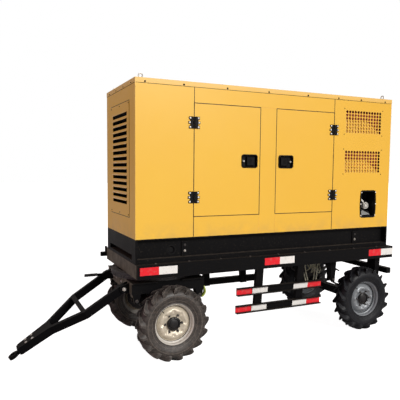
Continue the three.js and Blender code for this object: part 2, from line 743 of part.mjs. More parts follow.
function buildRoof() {
  const half = CANOPY_HALF_LENGTH + 2;
  const width = CANOPY_HALF_WIDTH + 2;
  const lipBottom = CANOPY_TOP - ROOF_LIP;
  const shell = block([-half, half], [-width, width], [lipBottom, CANOPY_TOP]);
  const hollowZ = [lipBottom - 5, CANOPY_TOP - SKIN];
  const hollow = block([-half + SKIN, half - SKIN], [-width + SKIN, width - SKIN], hollowZ);
  const beams = [-1, 1].map((end) =>
    block([end * (LIFTING_EYE_X - 30), end * (LIFTING_EYE_X + 30)], [-width + 2, width - 2], [
      lipBottom + 6, CANOPY_TOP - 1]));
  const exhaust = drumAlongZ(EXHAUST_PLACE, 68, [lipBottom - 20, CANOPY_TOP + 5], 20);
  return cut(join(cut(shell, hollow), ...beams), exhaust);
}

function buildLiftingEye() {
  const zs = CANOPY_TOP + GAP;
  const ringMiddle = zs + 30;
  const ring = prismAlongX(circle(27, 14, [0, ringMiddle]), [-5, 5]);
  const eye = prismAlongX(circle(15, 12, [0, ringMiddle]), [-8, 8]);
  const collar = drumAlongZ([0, 0], 16, [zs, zs + 9], 10);
  return cut(join(ring, collar), eye);
}

function buildFrontPanel() {
  const outer = -CANOPY_HALF_LENGTH;
  const inner = outer + SKIN;
  const width = CANOPY_HALF_WIDTH;
  const skin = block([outer, inner], [-width, width], [PANEL_BOTTOM, PANEL_TOP]);
  const opening = block([outer - 5, inner + 5], [-SLAT_HALF_WIDTH - 10, SLAT_HALF_WIDTH + 10], [
    SLAT_Z[0] - 20, SLAT_Z[1] + 20]);
  return cut(skin, opening);
}

// The bolted-on air outlet: a plate of open slots, each with a short pressed brow over it.
function buildFrontLouvre() {
  const back = -CANOPY_HALF_LENGTH - GAP;
  const face = back - 2.5;
  const plate = block([face, back], [-LOUVRE_HALF_WIDTH, LOUVRE_HALF_WIDTH], LOUVRE_Z);
  const pitch = (SLAT_Z[1] - SLAT_Z[0]) / SLAT_COUNT;
  const browDepth = 8;
  const mouth = 40;
  const thickness = 2.5;
  let louvre = plate;
  for (let i = 0; i < SLAT_COUNT; i += 1) {
    const low = SLAT_Z[0] + pitch * i + 10;
    const ys = [-SLAT_HALF_WIDTH, SLAT_HALF_WIDTH];
    const brow = prismAlongY(
      [
        [back - 0.5, low + mouth + 8],
        [face - browDepth, low + mouth - 2],
        [face - browDepth, low + mouth - 2 - thickness],
        [back - 0.5, low + mouth + 8 - 2 * thickness],
      ],
      ys,
    );
    louvre = cut(louvre, block([face - 5, back + 5], ys.map((y) => y * 0.98), [low, low + mouth]));
    louvre = join(louvre, brow);
  }
  return louvre;
}

function buildRearPanel() {
  const outer = CANOPY_HALF_LENGTH;
  const inner = outer - SKIN;
  const width = CANOPY_HALF_WIDTH;
  const skin = block([inner, outer], [-width, width], [PANEL_BOTTOM, PANEL_TOP]);
  const doorway = block([inner - 5, outer + 5], [-REAR_DOOR_HALF_WIDTH, REAR_DOOR_HALF_WIDTH], REAR_DOOR_Z);
  return cut(skin, doorway);
}

// The control-side door, hinged on the left, with a window in front of the control panel.
function buildRearDoor() {
  const outer = CANOPY_HALF_LENGTH;
  const half = REAR_DOOR_HALF_WIDTH;
  const zs = [REAR_DOOR_Z[0] + DOOR_GAP, REAR_DOOR_Z[1] - DOOR_GAP];
  const skin = block([outer - SKIN, outer], [-half + 2.5, half - DOOR_GAP], zs);
  const frameYs = [-half + LINER_INSET, half - 34];
  const frameZs = [zs[0] + 30, zs[1] - 30];
  const frameWidth = 24;
  const stiffener = block([outer - 26, outer - SKIN / 2], frameYs, frameZs);
  const hollow = block(
    [outer - 40, outer - SKIN],
    [frameYs[0] + frameWidth, frameYs[1] - frameWidth],
    [frameZs[0] + frameWidth, frameZs[1] - frameWidth],
  );
  const windowHole = block([outer - 40, outer + 5], [-190, 190], [2020, 2330]);
  const pocketYs = [REAR_LATCH_Y - 64, REAR_LATCH_Y + 64];
  const pocket = block([outer - LATCH_DEPTH, outer + 5], pocketYs, [1840, 1940]);
  const backingXs = [outer - LATCH_DEPTH - 2, outer - SKIN / 2];
  const backing = block(backingXs, [pocketYs[0] - 6, half - 40], [1830, 1950]);
  return cut(join(cut(join(skin, stiffener), hollow), backing), windowHole, pocket);
}

function buildRearLatch() {
  const outer = CANOPY_HALF_LENGTH;
  const axisY = REAR_LATCH_Y + 52;
  const plate = block([outer - 8, outer - 1], [axisY - 84, axisY], [1852, 1928]);
  const rib = block([outer - 14, outer - 8], [axisY - 84, axisY - 72], [1852, 1928]);
  return join(plate, rib);
}

function buildFillerBox() {
  const outer = CANOPY_HALF_WIDTH;
  const [x0, x1] = FILLER_X;
  const [z0, z1] = FILLER_Z;
  const wall = 3;
  const bezel = 6;
  const body = block([x0 + GAP, x1 - GAP], [-outer + FILLER_DEPTH, -outer - 1], [z0 + GAP, z1 - GAP]);
  const rim = block([x0 - bezel, x1 + bezel], [-outer - GAP, -outer - 6], [z0 - bezel, z1 + bezel]);
  const hollow = block([x0 + 16, x1 - 16], [-outer + FILLER_DEPTH - wall, -outer - 10], [z0 + 16, z1 - 16]);
  const neck = drumAlongY(FILLER_CAP_PLACE, 34, [-outer + FILLER_DEPTH - 2, -outer + 96], 16);
  return join(cut(join(body, rim), hollow), neck);
}

function buildFillerCap() {
  const outer = CANOPY_HALF_WIDTH;
  const cap = drumAlongY(FILLER_CAP_PLACE, 42, [-outer + 96 - GAP, -outer + 70], 20);
  const grip = block(
    [FILLER_CAP_PLACE[0] - 36, FILLER_CAP_PLACE[0] + 36],
    [-outer + 72, -outer + 54],
    [FILLER_CAP_PLACE[1] - 7, FILLER_CAP_PLACE[1] + 7],
  );
  return join(cap, grip);
}

function addCanopy() {
  addPart('skid_base', buildBase(), 'baseBlack');
  for (const [word, side] of SIDES) {
    addPart(`side_panel_${word}`, buildSidePanel(side), 'canopyYellow');
    for (const end of ['front', 'rear']) {
      addPart(`door_${end}_${word}`, buildSideDoor(side, end), 'canopyYellow');
      addPart(`latch_${end}_${word}`, buildLatch(side, end), 'latchBlack');
    }
  }
  addPart('roof_panel', buildRoof(), 'canopyYellow');
  addPart('front_panel', buildFrontPanel(), 'canopyYellow');
  addPart('front_louvre', buildFrontLouvre(), 'canopyYellow');
  addPart('rear_panel', buildRearPanel(), 'canopyYellow');
  addPart('rear_door', buildRearDoor(), 'canopyYellow');
  addPart('rear_latch', buildRearLatch(), 'latchBlack');
  addPart('filler_box', buildFillerBox(), 'latchBlack');
  addPart('filler_cap', buildFillerCap(), 'machinedSteel');
  for (const [end, sign] of [['front', -1], ['rear', 1]]) {
    for (const [word, side] of SIDES) {
      const eye = addPart(`lifting_eye_${end}_${word}`, buildLiftingEye(), 'machinedSteel');
      eye.position.set(sign * LIFTING_EYE_X, side * LIFTING_EYE_Y, 0);
      eye.rotation.z = end === 'front' ? Math.PI / 2 : 0; // the front rings face sideways
    }
  }
}

// ---------------------------------------------------------------- generating set

function buildEngine() {
  const foot = CANOPY_FLOOR;
  const crankcase = block([-820, 60], [-190, 190], [1560, 1860]);
  const sump = block([-760, 0], [-150, 150], [1420, 1570]);
  const head = block([-800, 20], [-120, 130], [1850, 2060]);
  const rockerCover = block([-780, 0], [-90, 90], [2050, 2130]);
  const bellHousing = drumAlongX([0, SHAFT_Z], 250, [50, 170], 20);
  const manifold = block([-740, -60], [120, 210], [1900, 1970]);
  const intake = block([-740, -60], [-200, -110], [1920, 2000]);
  const injectionPump = block([-640, -380], [-290, -180], [1700, 1820]);
  const starter = drumAlongX([235, 1640], 60, [-180, 60], 14);
  const pulley = drumAlongX([0, SHAFT_Z], 110, [-880, -815], 18);
  const waterPump = drumAlongX([0, FAN_MIDDLE[1]], 60, [-880, -795], 14);
  const feet = [[-700, -620], [60, 140]].flatMap(([x0, x1]) => SIDES.map(([, side]) =>
    block([x0, x1], [side * 180, side * 330], [foot, 1620])));
  const brackets = [[-700, -620], [60, 140]].map(([x0, x1]) => block([x0, x1], [-330, 330], [1600, 1640]));
  return join(crankcase, sump, head, rockerCover, bellHousing, manifold, intake, injectionPump, starter,
    pulley, waterPump, ...feet, ...brackets);
}

function buildAlternator() {
  const body = drumAlongX([0, SHAFT_Z], 250, [170 + GAP, 300], 20);
  const stator = drumAlongX([0, SHAFT_Z], 235, [290, 780], 20);
  const endBell = drumAlongX([0, SHAFT_Z], 215, [770, 860], 20);
  const terminalBox = block([420, 790], [-200, 200], [1880, 2080]);
  const feet = SIDES.map(([, side]) => block([360, 700], [side * 130, side * 250], [CANOPY_FLOOR, 1560]));
  const saddle = block([360, 700], [-250, 250], [1500, 1560]);
  return join(body, stator, endBell, terminalBox, ...feet, saddle);
}

function buildRadiator() {
  const core = block([-1270, -1150], [-420, 420], [1400, 2440]);
  const topTank = block([-1290, -1130], [-430, 430], [2430, 2540]);
  const bottomTank = block([-1290, -1130], [-430, 430], [1330, 1410]);
  const shroud = cut(
    block([-1160, -1050], [-430, 430], [1410, 2430]),
    drumAlongX([0, FAN_MIDDLE[1]], 400, [-1140, -1040], 24),
  );
  const feet = SIDES.map(([, side]) => block([-1280, -1140], [side * 330, side * 425], [CANOPY_FLOOR, 1340]));
  return join(core, topTank, bottomTank, shroud, ...feet);
}

function buildFan() {
  const [x, z] = FAN_MIDDLE;
  const hub = drumAlongX([0, z], 70, [x - 30, -880 - GAP], 12);
  const bladeCount = 6;
  const blades = [];
  for (let i = 0; i < bladeCount; i += 1) {
    const blade = new THREE.BoxGeometry(6, 150, 330);
    blade.rotateZ(0.6);
    blade.translate(x, 0, 210);
    blade.rotateX((2 * Math.PI * i) / bladeCount);
    blade.translate(0, 0, z);
    blades.push(solidOf(blade));
  }
  return join(hub, ...blades);
}

function buildMuffler() {
  const middleZ = 2625;
  const can = drumAlongX([EXHAUST_PLACE[1], middleZ], 118, [-900, -120], 18);
  const outlet = drumAlongX([EXHAUST_PLACE[1], middleZ], 48, [EXHAUST_PLACE[0] - 48, -890], 12);
  const riser = drumAlongZ(EXHAUST_PLACE, 50, [middleZ - 40, CANOPY_TOP - 14], 12);
  const downpipe = drumAlongZ([-220, 172], 36, [1970 + GAP, middleZ - 60], 12);
  return join(can, outlet, riser, downpipe);
}

function buildBattery() {
  const zs = [CANOPY_FLOOR + GAP, 1470];
  const box = block([920, 1290], [300, 480], zs);
  const posts = [980, 1230].map((x) => drumAlongZ([x, 440], 12, [zs[1] - 2, zs[1] + 18], 10));
  return join(box, ...posts);
}

function buildControlPanel() {
  const cabinet = block([1360, 1570], [-300, 300], [1620, 2400]);
  const face = block([1565, 1590], [-285, 285], [1640, 2380]);
  const legs = SIDES.map(([, side]) => block([1380, 1440], [side * 240, side * 290], [CANOPY_FLOOR, 1630]));
  return join(cabinet, face, ...legs);
}

function addGeneratingSet() {
  addPart('engine', buildEngine(), 'engineGreen');
  addPart('alternator', buildAlternator(), 'alternatorBlue');
  addPart('radiator', buildRadiator(), 'radiatorBlack');
  addPart('cooling_fan', buildFan(), 'radiatorBlack');
  addPart('muffler', buildMuffler(), 'heatSteel');
  addPart('battery', buildBattery(), 'plasticGrey');
  addPart('control_panel', buildControlPanel(), 'plasticGrey');
}

addDeck();
addBogie();
addDrawbar();
addRunningGear();
addCanopy();
addGeneratingSet();
machine.position.x = -MACHINE_MIDDLE_X;

export default machine;
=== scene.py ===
"""Looks of the towable diesel generator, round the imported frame. Metres, +Z up, -X is the towing end."""

import itertools
import json
import math

import bmesh
import bpy
from mathutils import Matrix, Vector


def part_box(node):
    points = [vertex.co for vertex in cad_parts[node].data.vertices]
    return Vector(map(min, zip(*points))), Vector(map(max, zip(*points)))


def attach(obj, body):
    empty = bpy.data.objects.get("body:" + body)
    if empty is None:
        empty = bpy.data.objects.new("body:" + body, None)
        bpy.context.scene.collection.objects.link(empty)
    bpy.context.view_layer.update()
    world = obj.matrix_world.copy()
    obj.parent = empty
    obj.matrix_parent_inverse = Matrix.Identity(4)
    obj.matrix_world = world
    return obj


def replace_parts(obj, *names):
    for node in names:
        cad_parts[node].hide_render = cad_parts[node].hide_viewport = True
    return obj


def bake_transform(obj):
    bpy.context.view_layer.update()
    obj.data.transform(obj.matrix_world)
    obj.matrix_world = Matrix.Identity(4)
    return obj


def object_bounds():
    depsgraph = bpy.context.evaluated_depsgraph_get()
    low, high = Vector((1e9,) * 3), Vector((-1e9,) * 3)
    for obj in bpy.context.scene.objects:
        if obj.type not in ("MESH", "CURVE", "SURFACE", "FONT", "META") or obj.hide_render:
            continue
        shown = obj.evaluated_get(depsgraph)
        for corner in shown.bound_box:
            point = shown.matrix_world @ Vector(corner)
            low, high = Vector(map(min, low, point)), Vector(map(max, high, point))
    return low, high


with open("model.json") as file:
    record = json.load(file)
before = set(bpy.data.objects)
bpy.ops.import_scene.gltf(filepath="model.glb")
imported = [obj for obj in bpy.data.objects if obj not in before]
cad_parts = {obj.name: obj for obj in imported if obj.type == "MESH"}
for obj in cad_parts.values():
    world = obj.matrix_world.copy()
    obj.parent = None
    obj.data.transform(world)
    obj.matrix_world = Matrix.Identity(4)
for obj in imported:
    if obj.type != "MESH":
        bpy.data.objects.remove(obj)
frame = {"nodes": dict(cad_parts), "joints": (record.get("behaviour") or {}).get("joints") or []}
CAD_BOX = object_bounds()

# ---------------------------------------------------------------- places read from the frame

SIDES = (("left", -1), ("right", 1))
ENDS = ("front", "rear")
CORNERS = tuple(itertools.product(ENDS, SIDES))
BASE_LOW, BASE_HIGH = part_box("skid_base")
MIDDLE_X = (BASE_LOW.x + BASE_HIGH.x) / 2
SKIN_Y = abs(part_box("side_panel_left")[0].y)
ROOF_LOW, ROOF_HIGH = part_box("roof_panel")
DECK_LOW, DECK_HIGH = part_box("deck_frame")
DECK_SIDE_Y = abs(DECK_LOW.y)
DECK_TOP = BASE_LOW.z
REAR_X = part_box("rear_door")[1].x
FRONT_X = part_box("front_panel")[0].x
JOINTS = {joint["name"]: joint for joint in frame["joints"]}

# places along X in this block are measured from MIDDLE_X, and heights from the ground
ROOF_SCREW_X = (-1.540, -1.135, -0.647, -0.142, 0.375, 0.810, 1.148, 1.527)
STRAP_X = (-1.0975, 1.1585)
VENT_X = (0.924, 1.478)
VENT_Z = ((1.909, 2.171), (2.375, 2.641))
FILLER_PLACE = (1.309, 1.5305)

DECK_FACE_X = MIDDLE_X - 1.640
DRAIN_X = MIDDLE_X - 1.242
DRAIN_Z = 1.114
SEAM_X = (MIDDLE_X - 1.020, MIDDLE_X + 0.757)
WINDOW_Z = 2.175
HINGE_REACH = 0.066
HINGE_HALF_HEIGHT = 0.060
HINGE_INSET = 0.193
CHASSIS_KNUCKLES = ((-0.058, -0.021), (0.021, 0.058))
DOOR_KNUCKLES = ((-0.0195, 0.0195),)
VENT_COLUMNS = 13
VENT_ROWS = 7
CAP_GRIPS = 28
TAPE_LENGTH = 0.392
GUARD_TAPE_LENGTH = 0.195
LUGS_PER_SIDE = 17
DISC_INSET = 0.052


def extent(name):
    """A node's low and high corners, its middle and half its size."""
    low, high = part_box(name)
    return low, high, (low + high) / 2, (high - low) / 2


def joint_place(name):
    return Vector(JOINTS[name]["pos_m"])


# ---------------------------------------------------------------- mesh tools


def axes_at(x_axis, y_axis, z_axis, origin):
    matrix = Matrix((x_axis, y_axis, z_axis)).transposed().to_4x4()
    matrix.translation = Vector(origin)
    return matrix


def on_side(side, x, z):
    """u runs along X, v up and w out of the canopy's side."""
    return axes_at((1, 0, 0), (0, 0, 1), (0, side, 0), (x, side * SKIN_Y, z))


def on_rear(y, z):
    """u runs along Y, v up and w out of the canopy's rear end."""
    return axes_at((0, 1, 0), (0, 0, 1), (1, 0, 0), (REAR_X, y, z))


def facing(place, direction):
    """A frame at place whose w axis points along direction."""
    matrix = Vector(direction).to_track_quat("Z", "Y").to_matrix().to_4x4()
    matrix.translation = Vector(place)
    return matrix


class Form:
    """Closed solids gathered into one mesh. Points go in through the placing matrix at."""

    def __init__(self, at=None, bm=None):
        self.bm = bm or bmesh.new()
        self.at = at or Matrix.Identity(4)

    def placed(self, matrix):
        """The same mesh, entered through matrix too."""
        return Form(self.at @ matrix, self.bm)

    def shifted(self, u, v, w=0.0):
        return self.placed(Matrix.Translation((u, v, w)))

    def point(self, place):
        return self.bm.verts.new(self.at @ Vector(place))

    def hull(self, places):
        verts = [self.point(place) for place in places]
        bmesh.ops.convex_hull(self.bm, input=verts)

    def block(self, low, high, chamfer=0.0015):
        places = []
        for corner in itertools.product((0, 1), repeat=3):
            place = [(low, high)[pick][axis] for axis, pick in enumerate(corner)]
            for kept in range(3):
                moved = [v + (chamfer, -chamfer)[pick] for v, pick in zip(place, corner)]
                moved[kept] = place[kept]
                places.append(moved)
        self.hull(places)

    def loft(self, rings, ring_closed=True, loop=False, capped=True):
        """Joins rings in order. Uncapped ends are left for a neighbour to close."""
        rows = [[self.point(place) for place in ring] for ring in rings]
        pairs = list(zip(rows, rows[1:]))
        if loop:
            pairs.append((rows[-1], rows[0]))
        for one, two in pairs:
            count = len(one)
            for i in range(count if ring_closed else count - 1):
                j = (i + 1) % count
                self.bm.faces.new((one[i], one[j], two[j], two[i]))
        if ring_closed and capped and not loop:
            self.bm.faces.new(rows[0])
            self.bm.faces.new(rows[-1])

    def lathe(self, profile, segments=24, closed=False):
        """Turns (radius, height) points round the w axis. A profile that isn't closed ends on the axis."""
        outline = list(profile) + ([profile[0]] if closed else [])
        rings = []
        for angle in turns(segments):
            rings.append([polar(r, angle, h) for r, h in outline])
        self.loft(rings, ring_closed=False, loop=True)

    def tube(self, path, radius, sides=8, loop=False):
        places = [Vector(place) for place in path]
        rings = []
        normal = None
        for i, place in enumerate(places):
            before = places[i - 1] if i or loop else place
            after = places[(i + 1) % len(places)] if i < len(places) - 1 or loop else place
            tangent = (after - before).normalized()
            if normal is None:
                normal = tangent.orthogonal().normalized()
            normal = (normal - tangent * normal.dot(tangent)).normalized()
            other = tangent.cross(normal)
            around = [math.cos(a) * normal + math.sin(a) * other for a in turns(sides)]
            rings.append([place + radius * outward for outward in around])
        self.loft(rings, loop=loop)

    def hose(self, knots, radius, sides=8):
        self.tube(smooth_path(knots), radius, sides)

    def moulding(self, half_u, half_v, radius, profile, loop=False, bulge=0.0):
        """Rounded rectangles, each (inset, depth) of the profile, joined in order. bulge bows their sides."""
        rings = []
        for inset, depth in profile:
            corner = max(radius - inset, 0.001)
            outline = rounded_rectangle(half_u - inset, half_v - inset, corner, bulge)
            rings.append([(u, v, depth) for u, v in outline])
        self.loft(rings, loop=loop)


def turns(count):
    """Evenly spaced angles of one whole turn."""
    return [2 * math.pi * k / count for k in range(count)]


def polar(radius, angle, height=0.0):
    """A point at a radius and angle round the w axis."""
    return radius * math.cos(angle), radius * math.sin(angle), height


def rounded_rectangle(half_u, half_v, radius, bulge=0.0):
    steps = 5
    places = []
    for quarter, (su, sv) in enumerate(((1, 1), (-1, 1), (-1, -1), (1, -1))):
        for step in range(steps + 1):
            angle = math.pi / 2 * (quarter + step / steps)
            u = su * (half_u - radius) + radius * math.cos(angle)
            v = sv * (half_v - radius) + radius * math.sin(angle)
            places.append((u, v))
    if bulge:
        upright = [(half_v - radius) * (1 - k / 8) for k in range(1, 16)]
        half = 2 * (steps + 1)
        places[half:half] = [(-half_u, v) for v in upright]
        places += [(half_u, v) for v in reversed(upright)]
        places = [(u + math.copysign(bulge * (1 - (v / half_v) ** 2), u), v) for u, v in places]
    return places


def smooth_path(places, steps=6):
    """A Catmull-Rom curve through the places."""
    knots = [Vector(place) for place in places]
    knots = [2 * knots[0] - knots[1], *knots, 2 * knots[-1] - knots[-2]]
    path = []
    for a, b, c, d in zip(knots, knots[1:], knots[2:], knots[3:]):
        for step in range(steps):
            t = step / steps
            path.append(0.5 * (2 * b + (c - a) * t + (2 * a - 5 * b + 4 * c - d) * t * t
                               + (3 * b - a - 3 * c + d) * t ** 3))
    path.append(knots[-2])
    return path


def bolt(form, place, direction, size):
    """A hexagon bolt head with its washer. size is the head's radius."""
    head = form.placed(facing(place, direction))
    washer = size * 1.35
    top = size * 0.9
    head.lathe([(0, 0), (washer, 0), (washer, size * 0.18), (washer * 0.94, size * 0.25),
                (0, size * 0.25)], 14)
    head.lathe([(0, size * 0.2), (size, size * 0.2), (size, top - size * 0.12), (size * 0.86, top),
                (0, top)], 6)


def screw(form, place, direction, radius):
    """A domed screw head."""
    dome = ((0, -0.2), (1.0, -0.2), (1.0, 0.1), (0.8, 0.42), (0.4, 0.58), (0, 0.62))
    form.placed(facing(place, direction)).lathe([(radius * r, radius * h) for r, h in dome], 12)


def make(name, form, look, body="chassis", smooth=35, blend=None):
    """A piece with a look, on a body, or, when blend is given, on no body with its placement baked into its
    mesh.
    """
    bmesh.ops.remove_doubles(form.bm, verts=form.bm.verts, dist=1e-6)
    bmesh.ops.recalc_face_normals(form.bm, faces=form.bm.faces)
    mesh = bpy.data.meshes.new(name)
    form.bm.to_mesh(mesh)
    form.bm.free()
    mesh.materials.append(MATERIALS[look])
    mesh.shade_smooth()
    mesh.set_sharp_from_angle(angle=math.radians(smooth))
    piece = bpy.data.objects.new(name, mesh)
    bpy.context.scene.collection.objects.link(piece)
    if blend:
        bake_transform(piece)
    else:
        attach(piece, body)
    return piece


def add_bevel(piece, width):
    bevel = piece.modifiers.new("edge", "BEVEL")
    bevel.width = width
    bevel.segments = 2
    bevel.limit_method = "ANGLE"
    bevel.angle_limit = math.radians(40)
    bevel.harden_normals = False
    bevel.use_clamp_overlap = True


# ---------------------------------------------------------------- materials

MATERIALS = {}


class Nodes:
    """Short calls for the shader nodes that the materials share."""

    def __init__(self, name):
        self.name = name
        self.material = bpy.data.materials.new("look_" + name)
        self.material.use_nodes = True
        self.tree = self.material.node_tree
        self.shader = self.tree.nodes["Principled BSDF"]
        self.place = self.node("ShaderNodeTexCoord").outputs["Object"]

    def feed(self, socket, value):
        """Gives a socket another node's output, a colour or a number."""
        if isinstance(value, bpy.types.NodeSocket):
            self.tree.links.new(value, socket)
        elif socket.type == "RGBA":
            socket.default_value = (*value, 1)
        else:
            socket.default_value = value

    def node(self, kind, **inputs):
        node = self.tree.nodes.new(kind)
        for key, value in inputs.items():
            self.feed(node.inputs[key], value)
        return node

    def math(self, operation, one, two=0.0):
        node = self.tree.nodes.new("ShaderNodeMath")
        node.operation = operation
        self.feed(node.inputs[0], one)
        self.feed(node.inputs[1], two)
        return node.outputs[0]

    def chain(self, operation, values):
        result = values[0]
        for value in values[1:]:
            result = self.math(operation, result, value)
        return result

    def times(self, *values):
        return self.chain("MULTIPLY", values)

    def plus(self, *values):
        return self.chain("ADD", values)

    def noise(self, scale, detail=3.0, place=None):
        node = self.node("ShaderNodeTexNoise", Scale=scale, Detail=detail, Vector=place or self.place)
        return node.outputs["Fac"]

    def ramp(self, value, low, high):
        """0 at low and 1 at high."""
        node = self.node("ShaderNodeMapRange", Value=value)
        node.inputs["From Min"].default_value = low
        node.inputs["From Max"].default_value = high
        return node.outputs["Result"]

    def mottle(self, scale, detail, low, high):
        return self.ramp(self.noise(scale, detail), low, high)

    def mix(self, share, one, two):
        node = self.tree.nodes.new("ShaderNodeMix")
        node.data_type = "RGBA"
        for index, value in ((0, share), (6, one), (7, two)):
            self.feed(node.inputs[index], value)
        return node.outputs[2]

    def axis(self, vector, index):
        return self.node("ShaderNodeSeparateXYZ", Vector=vector).outputs[index]

    def geometry(self, output):
        return self.node("ShaderNodeNewGeometry").outputs[output]

    def edges(self, radius):
        """1 along sharp edges and 0 on flats."""
        bevel = self.node("ShaderNodeBevel", Radius=radius)
        bevel.samples = 4
        dot = self.tree.nodes.new("ShaderNodeVectorMath")
        dot.operation = "DOT_PRODUCT"
        self.tree.links.new(bevel.outputs[0], dot.inputs[0])
        self.tree.links.new(self.geometry("Normal"), dot.inputs[1])
        return self.ramp(dot.outputs["Value"], 0.99, 0.80)

    def upward(self):
        return self.ramp(self.axis(self.geometry("Normal"), 2), 0.55, 0.95)

    def forward(self):
        return self.ramp(self.axis(self.geometry("Normal"), 0), -0.80, -0.97)

    def finish(self, colour, rough, metallic=0.0, height=None, relief=0.0005):
        for key, value in (("Base Color", colour), ("Roughness", rough), ("Metallic", metallic)):
            self.feed(self.shader.inputs[key], value)
        if height is not None:
            bump = self.node("ShaderNodeBump", Height=height, Distance=relief, Strength=0.6)
            self.tree.links.new(bump.outputs[0], self.shader.inputs["Normal"])
        MATERIALS[self.name] = self.material


def scaled(colour, share):
    return [value * share for value in colour]


ROAD_DIRT = (0.185, 0.168, 0.130)


def dusty_paint(name, colour, rough, dust, dust_share, wear, wear_share, metallic=0.0, gleam=0.5, road=0.0):
    """Paint or bare steel with orange peel, dust on the upward faces and lightened edges.

    road is the share of road dirt on the front face of the deck."""
    n = Nodes(name)
    broad = n.mottle(2.2, 4.0, 0.3, 0.7)
    shade = n.mix(n.times(broad, 0.55), colour, scaled(colour, 0.72))
    speckle = n.mottle(38.0, 5.0, 0.42, 0.62)
    film = n.times(n.upward(), n.plus(n.times(speckle, 0.6), 0.4), dust_share)
    shade = n.mix(film, shade, dust)
    shade = n.mix(n.times(n.mottle(75.0, 6.0, 0.60, 0.74), dust_share * 0.35), shade, dust)
    if road:
        from_face = n.math("SUBTRACT", n.axis(n.geometry("Position"), 0), DECK_FACE_X)
        on_face = n.math("LESS_THAN", n.math("ABSOLUTE", from_face), 0.02)
        thick = n.plus(n.times(n.mottle(12.0, 5.0, 0.35, 0.65), 0.4), 0.6)
        shade = n.mix(n.times(n.forward(), thick, on_face, road), shade, ROAD_DIRT)
    rubbed = n.times(n.edges(0.004), n.mottle(24.0, 3.0, 0.35, 0.6), wear_share)
    shade = n.mix(rubbed, shade, wear)
    gloss = n.plus(n.times(film, 0.3), n.times(broad, 0.08), rough)
    n.shader.inputs["Specular IOR Level"].default_value = gleam
    n.finish(shade, gloss, metallic, n.noise(420.0, 2.0), 0.0004)


def canopy_yellow(n):
    """The canopy's yellow: patchy, dirty at its foot, dusty on top, with a painted highlight on the roof's
    lip, and pale at its edges.
    """
    height = n.axis(n.place, 2)
    yellow = n.mix(n.ramp(n.axis(n.place, 0), -1.1, 2.2), (0.90, 0.540, 0.058), (0.88, 0.500, 0.046))
    yellow = n.mix(n.times(n.mottle(1.3, 3.0, 0.35, 0.7), 0.3), yellow, (0.85, 0.47, 0.050))
    low = n.times(n.ramp(height, 1.42, 1.24), n.mottle(9.0, 5.0, 0.35, 0.65))
    yellow = n.mix(n.times(low, 0.35), yellow, (0.52, 0.33, 0.11))
    dust = n.times(n.upward(), n.mottle(30.0, 5.0, 0.3, 0.7))
    yellow = n.mix(n.times(dust, 0.3), yellow, (0.62, 0.50, 0.33))
    # The paler band from the roof's lip upward is a painted highlight.
    yellow = n.mix(n.times(n.ramp(height, 2.748, 2.772), 0.30), yellow, (0.90, 0.66, 0.34))
    return n.mix(n.times(n.edges(0.003), 0.35), yellow, (1.0, 0.76, 0.30))


def canopy_paint(name, lined):
    """Powder-coated sheet. Behind the skin of a lined panel lies black sound-absorbing foam."""
    n = Nodes(name)
    yellow = canopy_yellow(n)
    rough = n.plus(n.times(n.noise(5.0), 0.12), 0.30)
    peel = n.noise(260.0, 2.0)
    if not lined:
        n.finish(yellow, rough, 0.0, peel, 0.0004)
        return
    inner = n.math("LESS_THAN", n.math("ABSOLUTE", n.axis(n.place, 1)), SKIN_Y - 0.0034)
    cells = n.node("ShaderNodeTexVoronoi", Vector=n.place, Scale=120.0).outputs["Distance"]
    foam = n.mix(n.ramp(cells, 0.0, 0.6), (0.008, 0.008, 0.009), (0.035, 0.034, 0.036))
    rough = n.plus(rough, n.times(inner, 0.5))
    n.finish(n.mix(inner, yellow, foam), rough, 0.0, n.plus(peel, n.times(cells, inner, 6.0)), 0.0004)


def rubber(name, dark, pale, dirt_colour, rubbed_and_lit_colour, gleam):
    """Rubber that is dusty on its flats, paler at its edges from rubbing and a painted highlight, and darker
    in its hollows from painted shade.
    """
    n = Nodes(name)
    n.shader.inputs["Specular IOR Level"].default_value = gleam
    patch = n.mottle(14.0, 5.0, 0.35, 0.65)
    shade = n.mix(patch, dark, pale)
    shade = n.mix(n.times(n.mottle(40.0, 6.0, 0.45, 0.75), 0.45), shade, dirt_colour)
    # The paler edges are partly rubbed rubber and partly a painted highlight on the lit lugs.
    shade = n.mix(n.times(n.edges(0.006), 0.75), shade, rubbed_and_lit_colour)
    # Ambient occlusion darkens the hollows toward a darker rubber: painted shade.
    hollow_shade = n.node("ShaderNodeAmbientOcclusion", Distance=0.045)
    hollow_shade.samples = 4
    shade = n.mix(n.ramp(hollow_shade.outputs["AO"], 0.92, 0.45), shade, scaled(dark, 0.3))
    n.finish(shade, n.plus(n.times(patch, 0.15), 0.44), 0.0, n.noise(150.0, 4.0), 0.0012)


def reflective(name, colour, cell_shade):
    """Prismatic tape: small honeycomb cells in a clear film."""
    n = Nodes(name)
    cells = n.node("ShaderNodeTexVoronoi", Vector=n.place, Scale=130.0)
    cells.feature = "DISTANCE_TO_EDGE"
    wall = n.ramp(cells.outputs["Distance"], 0.10, 0.03)
    shade = n.mix(n.times(wall, 0.35), colour, cell_shade)
    shade = n.mix(n.times(n.mottle(22.0, 5.0, 0.52, 0.72), 0.25), shade, (0.30, 0.26, 0.22))
    n.finish(shade, 0.25, 0.0, wall, 0.0002)


def plastic(name, colour, rough, gleam=0.5):
    n = Nodes(name)
    n.shader.inputs["Specular IOR Level"].default_value = gleam
    mottled = n.mottle(18.0, 4.0, 0.3, 0.7)
    shade = n.mix(n.times(mottled, 0.4), colour, scaled(colour, 0.7))
    shade = n.mix(n.times(n.edges(0.0025), 0.4), shade, [value * 2.0 + 0.005 for value in colour])
    n.finish(shade, n.plus(n.times(mottled, 0.15), rough), 0.0, n.noise(600.0, 2.0), 0.0003)


